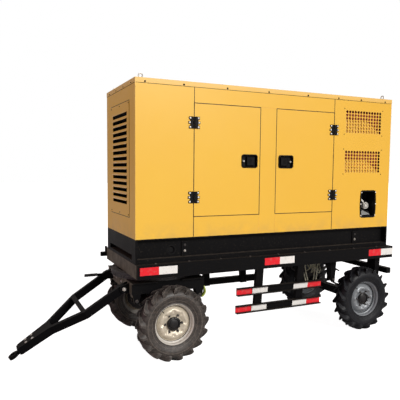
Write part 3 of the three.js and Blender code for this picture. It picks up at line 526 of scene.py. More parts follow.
def metal(name, colour, rough, tarnish, share=0.5, metallic=0.75):
    n = Nodes(name)
    shade = n.mix(n.times(n.mottle(26.0, 5.0, 0.4, 0.7), share), colour, tarnish)
    stretched = n.node("ShaderNodeMapping", Vector=n.place, Scale=(1.0, 1.0, 14.0)).outputs[0]
    scratches = n.noise(90.0, 3.0, stretched)
    n.finish(shade, n.plus(n.times(scratches, 0.25), rough), metallic, scratches, 0.0003)


def rim_paint(name, colour, dirt):
    """Sprayed wheel paint with dark patches and specks of dirt."""
    n = Nodes(name)
    mottled = n.mottle(20.0, 5.0, 0.35, 0.7)
    shade = n.mix(n.times(mottled, 0.35), colour, scaled(colour, 0.62))
    shade = n.mix(n.times(n.mottle(90.0, 5.0, 0.58, 0.72), 0.5), shade, dirt)
    n.finish(shade, n.plus(n.times(mottled, 0.2), 0.35), 0.25, n.noise(300.0, 2.0), 0.0004)


def glass(name, colour):
    n = Nodes(name)
    smear = n.mottle(7.0, 5.0, 0.3, 0.7)
    shade = n.mix(n.times(smear, 0.3), colour, scaled(colour, 1.6))
    n.shader.inputs["Coat Weight"].default_value = 0.6
    n.finish(shade, n.plus(n.times(smear, 0.08), 0.05), 0.0, n.noise(4.0), 0.0004)


BLACK_PAINT = (0.0026, 0.0025, 0.0031)


DUST = (0.20, 0.165, 0.13)


GREY_DUST = (0.10, 0.09, 0.08)


def make_materials():
    """Every look, under the name that the pieces ask for."""
    canopy_paint("yellow_sheet", lined=False)
    canopy_paint("yellow_lined", lined=True)
    dusty_paint("frame_paint", BLACK_PAINT, 0.48, DUST, 0.20, (0.030, 0.029, 0.031), 0.4, gleam=0.10,
                road=0.85)
    dusty_paint("drawbar_paint", BLACK_PAINT, 0.52, DUST, 0.07, (0.022, 0.021, 0.023), 0.4, gleam=0.05)
    dusty_paint("base_paint", BLACK_PAINT, 0.45, DUST, 0.40, (0.05, 0.05, 0.055), 0.4, gleam=0.10)
    dusty_paint("ring_metal", (0.06, 0.058, 0.06), 0.42, DUST, 0.4, (0.35, 0.33, 0.32), 0.8, metallic=0.6)
    dusty_paint("spring_metal", (0.022, 0.020, 0.021), 0.5, DUST, 0.6, (0.16, 0.13, 0.11), 0.8)
    dusty_paint("hub_paint", (0.010, 0.009, 0.010), 0.36, DUST, 0.3, (0.10, 0.095, 0.09), 0.6, gleam=0.4)
    dusty_paint("engine_paint", (0.045, 0.085, 0.055), 0.38, GREY_DUST, 0.4, (0.22, 0.24, 0.22), 0.5)
    dusty_paint("alternator_paint", (0.03, 0.075, 0.17), 0.4, (0.12, 0.12, 0.12), 0.35,
                (0.3, 0.33, 0.38), 0.5)
    dusty_paint("radiator_paint", (0.014, 0.014, 0.015), 0.45, GREY_DUST, 0.4, (0.2, 0.2, 0.2), 0.5)
    dusty_paint("primer", (0.31, 0.036, 0.012), 0.7, (0.22, 0.06, 0.03), 0.2, (0.36, 0.08, 0.04), 0.3)
    dusty_paint("inner_baffle", (0.85, 0.50, 0.085), 0.5, (0.4, 0.3, 0.15), 0.3, (0.95, 0.7, 0.3), 0.3)
    rubber("tyre_rubber", dark=(0.021, 0.017, 0.015), pale=(0.045, 0.038, 0.034),
           dirt_colour=(0.15, 0.12, 0.10), rubbed_and_lit_colour=(0.29, 0.25, 0.215), gleam=0.5)
    rubber("tyre_dark", dark=(0.0035, 0.004, 0.0055), pale=(0.007, 0.008, 0.011),
           dirt_colour=(0.022, 0.023, 0.028), rubbed_and_lit_colour=(0.05, 0.052, 0.06), gleam=0.25)
    plastic("black_plastic", (0.004, 0.004, 0.0045), 0.40, gleam=0.15)
    plastic("grey_plastic", (0.055, 0.055, 0.06), 0.38)
    plastic("cable_sheath", (0.008, 0.008, 0.009), 0.45, gleam=0.3)
    plastic("pale_cable", (0.60, 0.58, 0.44), 0.5)
    plastic("lime_cable", (0.42, 0.50, 0.08), 0.5)
    plastic("red_plastic", (0.45, 0.012, 0.01), 0.35)
    plastic("cap_plastic", (0.74, 0.72, 0.66), 0.4)
    plastic("panel_grey", (0.36, 0.37, 0.36), 0.4)
    metal("bright_steel", (0.62, 0.60, 0.56), 0.25, tarnish=(0.30, 0.26, 0.21))
    metal("zinc_heads", (0.84, 0.83, 0.79), 0.35, tarnish=(0.50, 0.46, 0.40), share=0.35, metallic=0.25)
    metal("exhaust_metal", (0.34, 0.31, 0.29), 0.45, tarnish=(0.16, 0.09, 0.06), share=0.8)
    rim_paint("rim_cream", (0.66, 0.59, 0.47), dirt=(0.17, 0.12, 0.08))
    rim_paint("rim_bright", (0.66, 0.63, 0.58), dirt=(0.30, 0.25, 0.21))
    rim_paint("rim_silver", (0.26, 0.28, 0.30), dirt=(0.09, 0.08, 0.075))
    reflective("tape_red", (0.86, 0.012, 0.024), cell_shade=(0.45, 0.006, 0.012))
    reflective("tape_white", (0.90, 0.89, 0.86), cell_shade=(0.50, 0.49, 0.47))
    glass("dark_glass", (0.012, 0.016, 0.018))
    glass("lamp_green", (0.02, 0.35, 0.05))


NODE_FINISH = {
    "yellow_lined": ("side_panel_left", "side_panel_right", "door_front_left", "door_front_right",
                     "door_rear_left", "door_rear_right"),
    "yellow_sheet": ("roof_panel", "front_panel", "front_louvre", "rear_panel", "rear_door"),
    "frame_paint": ("deck_frame", "side_guard_left", "side_guard_right", "rear_bumper", "bogie_frame",
                    "front_axle", "rear_axle"),
    "drawbar_paint": ("drawbar", "tow_eye", "brake_lever"),
    "base_paint": ("skid_base",),
    "ring_metal": ("turntable_lower_ring", "turntable_upper_ring"),
    "bright_steel": ("drawbar_pin_left", "drawbar_pin_right"),
    "engine_paint": ("engine",),
    "alternator_paint": ("alternator",),
    "radiator_paint": ("radiator",),
    "exhaust_metal": ("muffler",),
    "black_plastic": ("latch_front_left", "latch_front_right", "latch_rear_left", "latch_rear_right",
                      "rear_latch", "cooling_fan", "battery"),
    "panel_grey": ("control_panel",),
}
NODE_BEVEL = {
    "yellow_lined": 0.0012, "yellow_sheet": 0.0012, "frame_paint": 0.003, "drawbar_paint": 0.003,
    "base_paint": 0.003, "engine_paint": 0.006, "alternator_paint": 0.006, "black_plastic": 0.003,
}


def dress_nodes():
    """Gives the CAD nodes that stay visible their looks and softened edges."""
    for finish, names in NODE_FINISH.items():
        for name in names:
            node = frame["nodes"][name]
            for slot in node.material_slots:
                slot.material = MATERIALS[finish]
            add_bevel(node, NODE_BEVEL.get(finish, 0.002))


# ---------------------------------------------------------------- canopy furniture


def hinge_leaf(plates, bolts, toward, knuckles):
    """One leaf, from the pin's axis outwards, with its share of the knuckles."""
    near, far = sorted((toward * 0.0125, toward * 0.044))
    plates.block((near, -HINGE_HALF_HEIGHT, 0.0003), (far, HINGE_HALF_HEIGHT, 0.0065), 0.0018)
    ear_v = 0.045
    for v, reach, half in ((-ear_v, 0.060, 0.0145), (0.0, HINGE_REACH, 0.0130), (ear_v, 0.060, 0.0145)):
        near, far = sorted((toward * 0.030, toward * reach))
        plates.block((near, v - half, 0.0004), (far, v + half, 0.0064), 0.0018)
        screw(bolts, (toward * (reach - 0.0145), v, 0.0064), (0, 0, 1), 0.0098)
    radius = 0.011
    for low, high in knuckles:
        length = high - low
        knuckle = [(0, 0), (radius - 0.0015, 0), (radius, 0.0015), (radius, length - 0.0015),
                   (radius - 0.0015, length), (0, length)]
        plates.placed(facing((0, low, 0.003), (0, 1, 0))).lathe(knuckle, 16)
        near, far = sorted((0.0, toward * 0.0140))
        plates.block((near, low + 0.001, 0.0005), (far, high - 0.001, 0.009), 0.001)


def make_hinge_pair(fixed, places, toward, door, body):
    """A door's two hinges. Their fixed leaves go into the forms that the canopy's leaves share."""
    fixed_plates, fixed_bolts = fixed
    plates = Form()
    bolts = Form()
    for at in places:
        fixed_plates.at = fixed_bolts.at = plates.at = bolts.at = at
        hinge_leaf(fixed_plates, fixed_bolts, -toward, CHASSIS_KNUCKLES)
        hinge_leaf(plates, bolts, toward, DOOR_KNUCKLES)
    make(f"hinge_leaves_{door}", plates, "black_plastic", body)
    make(f"hinge_bolts_{door}", bolts, "zinc_heads", body)


def make_hinges():
    """Butt hinges of the four side doors and the control door."""
    fixed = (Form(), Form())
    for end, (word, side) in CORNERS:
        low, high, middle, _ = extent(f"door_{end}_{word}")
        pin_x = joint_place(f"door_swing_{end}_{word}").x
        places = [on_side(side, pin_x, z) for z in (low.z + HINGE_INSET, high.z - HINGE_INSET)]
        toward = 1 if pin_x < middle.x else -1
        make_hinge_pair(fixed, places, toward, f"{end}_{word}", f"side_door_{end}_{word}")
    low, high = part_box("rear_door")
    pin_y = joint_place("control_door_swing").y
    inset = HINGE_INSET * 0.7
    places = [on_rear(pin_y, z) for z in (low.z + inset, high.z - inset)]
    make_hinge_pair(fixed, places, 1, "control_door", "control_door")
    make("hinge_leaves_canopy", fixed[0], "black_plastic")
    make("hinge_bolts_canopy", fixed[1], "zinc_heads")


def latch_dish(form, half_u, half_v, depth):
    """A recessed dish: its floor, its walls, a thick rolled rim, and back under to its outside."""
    form.moulding(half_u, half_v, 0.026, [
        (0.0150, -depth + 0.002), (0.0135, -depth + 0.004), (0.0120, 0.003), (0.0105, 0.0080),
        (0.0070, 0.0105), (0.0025, 0.0095), (0.0, 0.0055), (0.0, 0.0004), (0.0096, 0.0004), (0.0096, -depth),
    ])


def latch_grip(at, half_u, half_v, radius, lip):
    """The raised rim of a latch's paddle. lip is the rim's width."""
    rim = Form(at)
    rim.moulding(half_u - 0.001, half_v - 0.001, radius, [
        (0.0, -0.0012), (0.0, 0.0012), (lip * 0.26, 0.0030), (lip * 0.73, 0.0030), (lip, 0.0010),
        (lip, -0.0012),
    ], loop=True)
    return rim


def make_latch(end, word, side):
    """A side door's latch: its dish and key on the door, and the paddle's rim and ribs."""
    _, _, paddle, half = extent(f"latch_{end}_{word}")
    _, _, door, _ = extent(f"door_{end}_{word}")
    body = f"side_door_{end}_{word}"
    away = -1 if paddle.x > door.x else 1
    pillar_edge = paddle.x - away * half.x
    dish_x = pillar_edge + away * 0.066
    dish = Form(on_side(side, dish_x, paddle.z))
    latch_dish(dish, 0.0985, 0.0720, 0.0236)
    make(f"latch_dish_{end}_{word}", dish, "black_plastic", body)
    key = Form(on_side(side, dish_x + away * 0.066, paddle.z))
    key.lathe([(0, -0.0215), (0.0105, -0.0215), (0.0105, -0.005), (0.0092, -0.003), (0.0058, -0.003),
               (0.0050, -0.0045), (0, -0.0045)], 20)
    key.block((-0.0012, -0.0050, -0.0060), (0.0012, 0.0045, -0.0032), 0.0003)
    make(f"latch_key_{end}_{word}", key, "bright_steel", body)
    rim = latch_grip(on_side(side, paddle.x, paddle.z), half.x, half.z, 0.010, 0.0085)
    for k in range(4):
        u = away * (0.011 * k - 0.010)
        rim.block((u - 0.0016, -0.024, -0.0012), (u + 0.0016, 0.024, 0.0016), 0.0008)
    make(f"latch_grip_{end}_{word}", rim, "black_plastic", f"side_latch_{end}_{word}")


def make_control_latch():
    """The same kind of latch on the control door, with a dish of its own size."""
    _, _, middle, half = extent("rear_latch")
    dish = Form(on_rear(middle.y - 0.008, middle.z))
    latch_dish(dish, 0.0720, 0.0580, 0.013)
    make("latch_dish_control_door", dish, "black_plastic", "control_door")
    rim = latch_grip(on_rear(middle.y, middle.z), half.y, half.z, 0.008, 0.0075)
    make("latch_grip_control_door", rim, "black_plastic", "control_latch")


def perforated_sheet(form, low, high, radius, w0, w1):
    """A sheet of square cells, each with a round hole. Neighbouring cells share their edge points."""
    eighth = math.tan(math.pi / 8)
    spots = (-1.0, -eighth, 0.0, eighth)
    outline = ([(1.0, v) for v in spots] + [(-v, 1.0) for v in spots]
               + [(-1.0, -v) for v in spots] + [(v, -1.0) for v in spots])
    angles = [math.atan2(b, a) for a, b in outline]
    pitch_u = (high[0] - low[0]) / VENT_COLUMNS
    pitch_v = (high[1] - low[1]) / VENT_ROWS
    for column, row in itertools.product(range(VENT_COLUMNS), range(VENT_ROWS)):
        u = low[0] + (column + 0.5) * pitch_u
        v = low[1] + (row + 0.5) * pitch_v
        edge = [(u + a * pitch_u / 2, v + b * pitch_v / 2) for a, b in outline]
        hole = [(u + radius * math.cos(a), v + radius * math.sin(a)) for a in angles]
        form.loft([[(*p, w0) for p in edge], [(*p, w0) for p in hole],
                   [(*p, w1) for p in hole], [(*p, w1) for p in edge]], capped=False)
    corners = [(low[0], low[1]), (high[0], low[1]), (high[0], high[1]), (low[0], high[1])]
    path = []
    for start, end, count in zip(corners, corners[1:] + corners[:1], (VENT_COLUMNS, VENT_ROWS) * 2):
        for k, spot in itertools.product(range(count), spots):
            t = (k + (1 + spot) / 2) / count
            path.append((start[0] + (end[0] - start[0]) * t, start[1] + (end[1] - start[1]) * t))
    form.loft([[(*p, w0) for p in path], [(*p, w1) for p in path]], capped=False)


def make_vents(word, side):
    """Two perforated screens with the yellow deflector and the primed duct behind them."""
    screens, baffles, ducts = (Form(on_side(side, MIDDLE_X, 0)) for _ in range(3))
    left, right = VENT_X
    for bottom, top in VENT_Z:
        perforated_sheet(screens, (left, bottom), (right, top), 0.0172, -0.0026, -0.0004)
        row = (top - bottom) / VENT_ROWS
        column = (right - left) / VENT_COLUMNS
        shelf = top - 3 * row
        outline = [(left, bottom), (right - 0.3 * column, bottom), (left + 8 * column, shelf), (left, shelf)]
        baffles.loft([[(u, v, w) for u, v in outline] for w in (-0.0120, -0.0140)])
        slope = ((bottom - 0.01, -0.016), (bottom - 0.01, -0.018), (top + 0.01, -0.038), (top + 0.01, -0.040))
        ducts.hull([(u, v, w) for u in (left - 0.03, right + 0.03) for v, w in slope])
    make(f"vent_screens_{word}", screens, "yellow_sheet")
    make(f"vent_baffles_{word}", baffles, "inner_baffle")
    make(f"vent_ducts_{word}", ducts, "primer")


def make_panel_screws():
    """Dark screws along the roof lip, at the vent corners and round the front louvre."""
    screws = Form()
    lip_z = ROOF_LOW.z + 0.012
    for (_, side), x in itertools.product(SIDES, ROOF_SCREW_X):
        screw(screws, (MIDDLE_X + x, side * ROOF_HIGH.y, lip_z), (0, side, 0), 0.0100)
    for y, (x, out) in itertools.product((-0.42, -0.14, 0.14, 0.42), ((ROOF_LOW.x, -1), (ROOF_HIGH.x, 1))):
        screw(screws, (x, y, lip_z), (out, 0, 0), 0.0075)
    for (_, side), (bottom, top) in itertools.product(SIDES, VENT_Z):
        for x, z in itertools.product((VENT_X[0] - 0.018, VENT_X[1] + 0.018), (bottom - 0.016, top + 0.016)):
            screw(screws, (MIDDLE_X + x, side * SKIN_Y, z), (0, side, 0), 0.0062)
    low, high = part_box("front_louvre")
    for y, z in itertools.product((low.y + 0.02, 0.0, high.y - 0.02), (low.z + 0.02, high.z - 0.02)):
        screw(screws, (FRONT_X - 0.003, y, z), (-1, 0, 0), 0.0070)
    make("panel_screws", screws, "black_plastic")


def make_filler_tray():
    """The filler's window: a deep tray with a broad barrel-sided bezel and its screws."""
    x, z = FILLER_PLACE
    bow = 0.010
    half_u, half_v = 0.117, 0.1665
    tray = Form(on_side(-1, MIDDLE_X + x, z))
    tray.moulding(half_u, half_v, 0.030, [
        (0.026, -0.1440), (0.023, -0.1400), (0.0200, -0.004), (0.0190, 0.0040), (0.0150, 0.0078),
        (0.0040, 0.0076), (0.0, 0.0035), (0.0, 0.0004), (0.0185, 0.0004), (0.0205, -0.1460),
    ], bulge=bow)
    pedestal = [(0.0, -0.143), (0.0, -0.118), (0.004, -0.114), (0.012, -0.114)]
    tray.shifted(0.020, -0.020).moulding(0.062, 0.060, 0.012, pedestal)
    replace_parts(make("filler_tray", tray, "black_plastic"), "filler_box")
    screws = Form(on_side(-1, MIDDLE_X + x, z))
    for u, v in itertools.product((-1, 1), (-0.140, 0.0, 0.140)):
        edge = half_u - 0.0095 + bow * (1 - (v / half_v) ** 2)
        screw(screws, (u * edge, v, 0.0074), (0, 0, 1), 0.0088)
    make("filler_screws", screws, "zinc_heads")


def make_filler():
    """What the filler's window holds: the neck, a sill, the drain, the cap's strap and the cap."""
    low, high, middle, half = extent("filler_cap")
    at = on_side(-1, middle.x, middle.z)
    back = abs(high.y) - SKIN_Y
    front = abs(low.y) - SKIN_Y
    neck = Form(at)
    neck.lathe([(0, -0.143), (0.052, -0.143), (0.052, -0.137), (0.036, -0.134), (0.034, back - 0.003),
                (0.030, back - 0.001), (0, back - 0.001)], 28)
    make("filler_neck", neck, "grey_plastic")
    sill = Form(at)
    sill.hull([(u, v, w) for u in (-0.090, 0.050) for v, w in (
        (-0.112, -0.138), (-0.052, -0.138), (-0.112, -0.045), (-0.106, -0.045))])
    make("filler_sill", sill, "panel_grey")
    drain = Form(at)
    drain.hose([(0.020, -0.062, -0.130), (0.034, -0.064, -0.095), (0.050, -0.084, -0.070),
                (0.062, -0.104, -0.085)], 0.009, 10)
    make("filler_drain", drain, "cable_sheath")
    strap = Form(at)
    along = smooth_path([(-0.030, 0.030, -0.075), (-0.052, 0.050, -0.052), (-0.078, 0.072, -0.050),
                         (-0.104, 0.092, -0.078)])
    strap.loft([[(u - 0.006, v - 0.007, w), (u + 0.006, v + 0.007, w), (u + 0.006, v + 0.007, w + 0.002),
                 (u - 0.006, v - 0.007, w + 0.002)] for u, v, w in along])
    make("filler_strap", strap, "cap_plastic")
    cap = Form(at)
    rings = []
    for w, scale in ((back, 0.93), (back + 0.004, 1.0), (front - 0.010, 1.0), (front - 0.003, 0.94)):
        ring = []
        for k, angle in enumerate(turns(4 * CAP_GRIPS)):
            r = half.x * scale * (0.965 if k % 4 in (0, 1) else 1.0)
            ring.append(polar(r, angle, w))
        rings.append(ring)
    cap.loft(rings)
    crown = ((0, -0.006), (0.84, -0.006), (0.82, 0), (0.70, 0), (0.66, -0.003), (0.50, -0.003),
             (0.44, -0.0005), (0.20, 0), (0, 0))
    cap.lathe([(half.x * share, front + rise) for share, rise in crown], 32)
    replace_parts(make("filler_cap_knurled", cap, "cap_plastic", "fuel_cap"), "filler_cap")


def make_lifting_eyes():
    """Round eyes on turned feet. Each ring lies in the plane of its CAD node."""
    thick = 0.0056
    for end, (word, _) in CORNERS:
        node = f"lifting_eye_{end}_{word}"
        low, high, middle, half = extent(node)
        across = half.y > half.x
        outer = max(half.x, half.y)
        turn = Matrix.Identity(4) if across else Matrix.Rotation(math.pi / 2, 4, "Z")
        eye = Form(Matrix.Translation((middle.x, middle.y, low.z)) @ turn)
        eye.lathe([(0, 0), (0.015, 0), (0.015, 0.003), (0.0125, 0.006), (0.007, 0.0085), (0, 0.0085)], 20)
        radius = outer - thick
        centre_z = high.z - low.z - outer
        ring = [(0, radius * math.cos(a), centre_z + radius * math.sin(a)) for a in turns(28)]
        eye.tube(ring, thick, 10, loop=True)
        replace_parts(make(f"eye_bolt_{end}_{word}", eye, "bright_steel"), node)


def make_door_trim():
    """The dark gap round each side door, and the bulb seal and lining bars on its inside."""
    for end, (word, side) in CORNERS:
        body = f"side_door_{end}_{word}"
        low, high, middle, half = extent(f"door_{end}_{word}")
        depth = SKIN_Y - min(abs(low.y), abs(high.y))
        at = on_side(side, middle.x, middle.z)
        gap = Form(at)
        gap.moulding(half.x + 0.0075, half.z + 0.0075, 0.006, [
            (0.0, 0.0002), (0.0, 0.001), (0.0069, 0.001), (0.0069, -0.016), (0.0038, -0.016),
            (0.0038, 0.0002),
        ], loop=True)
        make(f"door_gap_{end}_{word}", gap, "cable_sheath")
        seal = Form(at)
        half_u = half.x - 0.062
        half_v = half.z - 0.062
        outline = rounded_rectangle(half_u, half_v, 0.04)
        seal.tube([(u, v, -depth - 0.004) for u, v in outline], 0.0055, 8, loop=True)
        make(f"door_seal_{end}_{word}", seal, "cable_sheath", body)
        bars = Form(at)
        reach = half_u * 0.8
        for v in (-half_v * 0.5, half_v * 0.5):
            bars.block((-reach, v - 0.018, -depth - 0.006), (reach, v + 0.018, -depth - 0.0006), 0.002)
        make(f"lining_bars_{end}_{word}", bars, "bright_steel", body)


def make_seam_sealant():
    """Black sealant in the seams of the walls, under the roof's lip and round the front louvre."""
    black = Form()
    top = ROOF_LOW.z - 0.0006
    wall_low, wall_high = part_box("side_panel_left")
    for _, side in SIDES:
        near, far = sorted((side * (SKIN_Y + 0.0001), side * (SKIN_Y + 0.0008)))
        for x in SEAM_X:
            black.block((x - 0.0035, near, wall_low.z + 0.002), (x + 0.0035, far, top - 0.002), 0.0001)
        near, far = sorted((side * (SKIN_Y - 0.001), side * (SKIN_Y + 0.0008)))
        black.block((wall_low.x + 0.004, near, top - 0.0038), (wall_high.x - 0.004, far, top), 0.0001)
    black.block((FRONT_X - 0.0008, -SKIN_Y, top - 0.0038), (FRONT_X + 0.001, SKIN_Y, top), 0.0001)
    _, _, middle, half = extent("front_louvre")
    black.at = axes_at((0, -1, 0), (0, 0, 1), (-1, 0, 0), (FRONT_X, 0, middle.z))
    black.moulding(half.y + 0.0065, half.z + 0.0065, 0.003, [
        (0.0, 0.0002), (0.0, 0.0012), (0.0061, 0.0012), (0.0061, 0.0002)], loop=True)
    make("seam_sealant", black, "cable_sheath")


# ---------------------------------------------------------------- base, deck and guards


def surface_y(node, x, z, side):
    """Where a level line from outside first meets a CAD node's side."""
    start = Vector((x, side * 3.0, z))
    hit, place, _, _ = frame["nodes"][node].ray_cast(start, Vector((0, -side, 0)))
    if not hit:
        raise ValueError(f"nothing of {node} at {x}, {z}")
    return place.y


def tape_strip(form, node, side, x0, x1, z0, z1):
    """A thin strip that lies on the node's side, whatever its lean."""
    inset = 0.004
    low = surface_y(node, (x0 + x1) / 2, z0 + inset, side)
    high = surface_y(node, (x0 + x1) / 2, z1 - inset, side)
    form.hull([(x, y + side * lift, z) for x in (x0, x1)
               for y, z in ((low, z0), (high, z1)) for lift in (0.0002, 0.0011)])


def make_tapes():
    """Red and white reflective tapes on the deck, the side guards and the bumper."""
    red = Form()
    white = Form()
    for word, side in SIDES:
        band = (DECK_TOP - 0.104, DECK_TOP - 0.025)
        for x0 in (BASE_LOW.x + 0.032, MIDDLE_X - 0.185, DECK_HIGH.x - TAPE_LENGTH):
            middle = x0 + TAPE_LENGTH / 2
            tape_strip(red, "deck_frame", side, x0, middle, *band)
            tape_strip(white, "deck_frame", side, middle, x0 + TAPE_LENGTH, *band)
        guard = f"side_guard_{word}"
        low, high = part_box(guard)
        step = GUARD_TAPE_LENGTH
        for foot in (low.z, low.z + 0.198):
            band = (foot + 0.010, foot + 0.075)
            tape_strip(red, guard, side, low.x, low.x + step, *band)
            tape_strip(white, guard, side, low.x + step, low.x + 2 * step, *band)
            tape_strip(white, guard, side, high.x - 2 * step, high.x - step, *band)
            tape_strip(red, guard, side, high.x - step, high.x, *band)
    low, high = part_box("rear_bumper")
    strips = 6
    length = (high.y - low.y - 0.06) / strips
    for k in range(strips):
        form = red if k % 2 == 0 else white
        y = low.y + 0.03 + k * length
        form.block((high.x + 0.0002, y, low.z + 0.008), (high.x + 0.0011, y + length, low.z + 0.060), 0.0003)
    make("tape_red_pieces", red, "tape_red")
    make("tape_white_pieces", white, "tape_white")


def make_chassis_bolts():
    """Bolts of the base's straps and the deck's edge, and the plugs of the base's drains."""
    pale = Form()
    dark = Form()
    plugs = Form()
    strap_z = DECK_TOP + 0.100
    for _, side in SIDES:
        for x in STRAP_X:
            y = surface_y("skid_base", MIDDLE_X + x, strap_z, side)
            bolt(pale, (MIDDLE_X + x + 0.004, y, strap_z), (0, side, 0), 0.010)
            bolt(dark, (MIDDLE_X + x + 0.004, y, strap_z + 0.060), (0, side, 0), 0.010)
        for k in range(9):
            x = BASE_LOW.x + 0.20 + k * 0.36
            bolt(dark, (x, side * (DECK_SIDE_Y - 0.024), DECK_TOP), (0, 0, 1), 0.010)
        plugs.at = on_side(side, DRAIN_X, DRAIN_Z)
        plugs.at.translation.y = surface_y("skid_base", DRAIN_X + 0.07, DRAIN_Z, side)
        plugs.lathe([(0, -0.012), (0.030, -0.012), (0.034, -0.004), (0.040, 0.0025), (0.051, 0.0025),
                     (0.053, 0.0003), (0.043, 0.0003), (0.041, -0.018), (0, -0.018)], 32)
    make("chassis_bolts_pale", pale, "bright_steel")
    make("chassis_bolts", dark, "spring_metal")
    make("drain_plugs", plugs, "black_plastic")


def make_underdeck():
    """Cables and hoses slung under the deck."""
    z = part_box("turntable_upper_ring")[1].z
    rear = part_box("rear_axle")[0].x
    pale = Form()
    dark = Form()
    for k in range(9):
        y = 0.05 + 0.031 * k
        drop = 0.17 + 0.055 * math.sin(2.4 * k)
        lean = 0.035 * math.sin(1.7 * k + 0.6)
        pale.hose([(rear - 0.22, y, z - 0.03), (rear - 0.17 + 0.010 * k, y + lean, z - 0.06 - drop * 0.7),
                   (rear - 0.10 + lean, y - lean, z - 0.08 - drop),
                   (rear - 0.02 - lean, y + 0.03 + lean, z - 0.05 - drop * 0.6),
                   (rear + 0.09 - 0.01 * k, y + 0.02, z - 0.02)], 0.0065)
    for k in range(2):
        y = -0.06 + 0.05 * k
        pale.hose([(rear - 0.42, y, z - 0.03), (rear - 0.38, y, z - 0.25), (rear - 0.29, y + 0.02, z - 0.44),
                   (rear - 0.20, y + 0.04, z - 0.40), (rear - 0.14, y + 0.06, z - 0.03)], 0.0072)
    for k in range(3):
        y = -0.26 + 0.06 * k
        dark.hose([(MIDDLE_X - 0.62, y, z - 0.04), (MIDDLE_X - 0.30, y, z - 0.07 - 0.01 * k),
                   (MIDDLE_X + 0.22, y + 0.02, z - 0.08), (rear - 0.45, y, z - 0.06),
                   (rear - 0.20, y + 0.03, z - 0.10), (rear - 0.02, y, z - 0.20)], 0.009)
    make("cable_loops", pale, "pale_cable")
    make("brake_lines_rear", dark, "cable_sheath")


# ---------------------------------------------------------------- wheels


def wheel_axes(side, centre):
    """u runs along X, v up and w out of the wheel's outer face."""
    return axes_at((1, 0, 0), (0, 0, 1), (0, side, 0), centre)


def make_tyre(end, word, side):
    """A hollow carcass with two raised rings on each side wall, and chevron lugs."""
    _, _, centre, size = extent(f"tyre_{end}_{word}")
    outer = size.z
    half = size.y
    tyre = Form(wheel_axes(side, centre))
    outside = [(0.2035, 0.060), (0.2110, 0.0690), (0.2200, 0.0660), (0.2360, 0.0700), (0.2560, 0.0800),
               (0.2780, 0.0860), (0.2960, half - 0.003), (0.3100, 0.0835), (0.3240, 0.0760),
               (0.3380, 0.0650), (0.3490, 0.0480), (0.3570, 0.0230)]
    inside = [(0.3340, 0.040), (0.3160, 0.0700), (0.2800, 0.0740), (0.2400, 0.0600), (0.2060, 0.0480)]
    profile = outside + [(0.3590, 0.0)] + [(r, -w) for r, w in reversed(outside)]
    profile += [(r, -w) for r, w in reversed(inside)] + [(0.3380, 0.0)] + inside
    tyre.lathe(profile, 72, closed=True)
    for (radius, w), face in itertools.product(((0.245, 0.0755), (0.292, half - 0.0025)), (1, -1)):
        band = [(radius - 0.003, w - 0.004), (radius - 0.001, w + 0.0016),
                (radius + 0.001, w + 0.0016), (radius + 0.003, w - 0.004)]
        tyre.lathe([(r, face * depth) for r, depth in band], 72, closed=True)
    pitch = 2 * math.pi / LUGS_PER_SIDE
    for k, face in itertools.product(range(LUGS_PER_SIDE), (1, -1)):
        start = pitch * (k + (0.5 if face > 0 else 0.0))
        tyre_lug(tyre, start, face, outer, half)
    look = "tyre_rubber" if end == "front" else "tyre_dark"
    piece = make(f"lugged_tyre_{end}_{word}", tyre, look, f"wheel_{end}_{word}", smooth=28)
    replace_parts(piece, f"tyre_{end}_{word}")


def tyre_lug(tyre, start, face, outer, half):
    """One lug: a bar that sweeps back from the crown, over the shoulder and down the side wall."""
    lean = 0.30
    stations = ((-0.004, 0.350, outer - 0.0005, 0.0, 0.0150), (0.030, 0.346, outer, 0.36, 0.0155),
                (0.058, 0.336, outer - 0.001, 0.68, 0.0170), (0.078, 0.322, outer - 0.006, 0.86, 0.0180),
                (half - 0.001, 0.308, 0.3600, 0.96, 0.0180), (half - 0.0003, 0.296, 0.3330, 1.0, 0.0150))
    rings = []
    for index, (w, base, top, share, width) in enumerate(stations):
        middle = start + lean * share
        foot = (width + 0.005) / base
        crest = width / top
        inner_w = min(w, half - 0.014) if index >= 4 else w
        ring = []
        for r, angle, depth in ((base, middle - foot, inner_w), (top, middle - crest * 0.62, w),
                                (top, middle + crest * 0.62, w), (base, middle + foot, inner_w)):
            ring.append(polar(r, angle, face * depth))
        rings.append(ring)
    tyre.loft(rings)


def disc_depth(r, angle, dimples, deep):
    """Height of the wheel disc's outer face over its hub flange, with a ring of dimples."""
    inner, outer = 0.088, 0.178
    share = max(0.0, min(1.0, (r - inner) / (outer - inner)))
    step = 0.004 / (1 + math.exp((r - 0.104) / 0.0016))
    dish = 0.030 * math.sin(math.pi * share) ** 1.2 - 0.012 * share + step
    ring = math.exp(-((r - 0.124) / 0.014) ** 2)
    lobe = max(0.0, math.cos(dimples * angle)) ** 1.5
    return dish - deep * ring * lobe


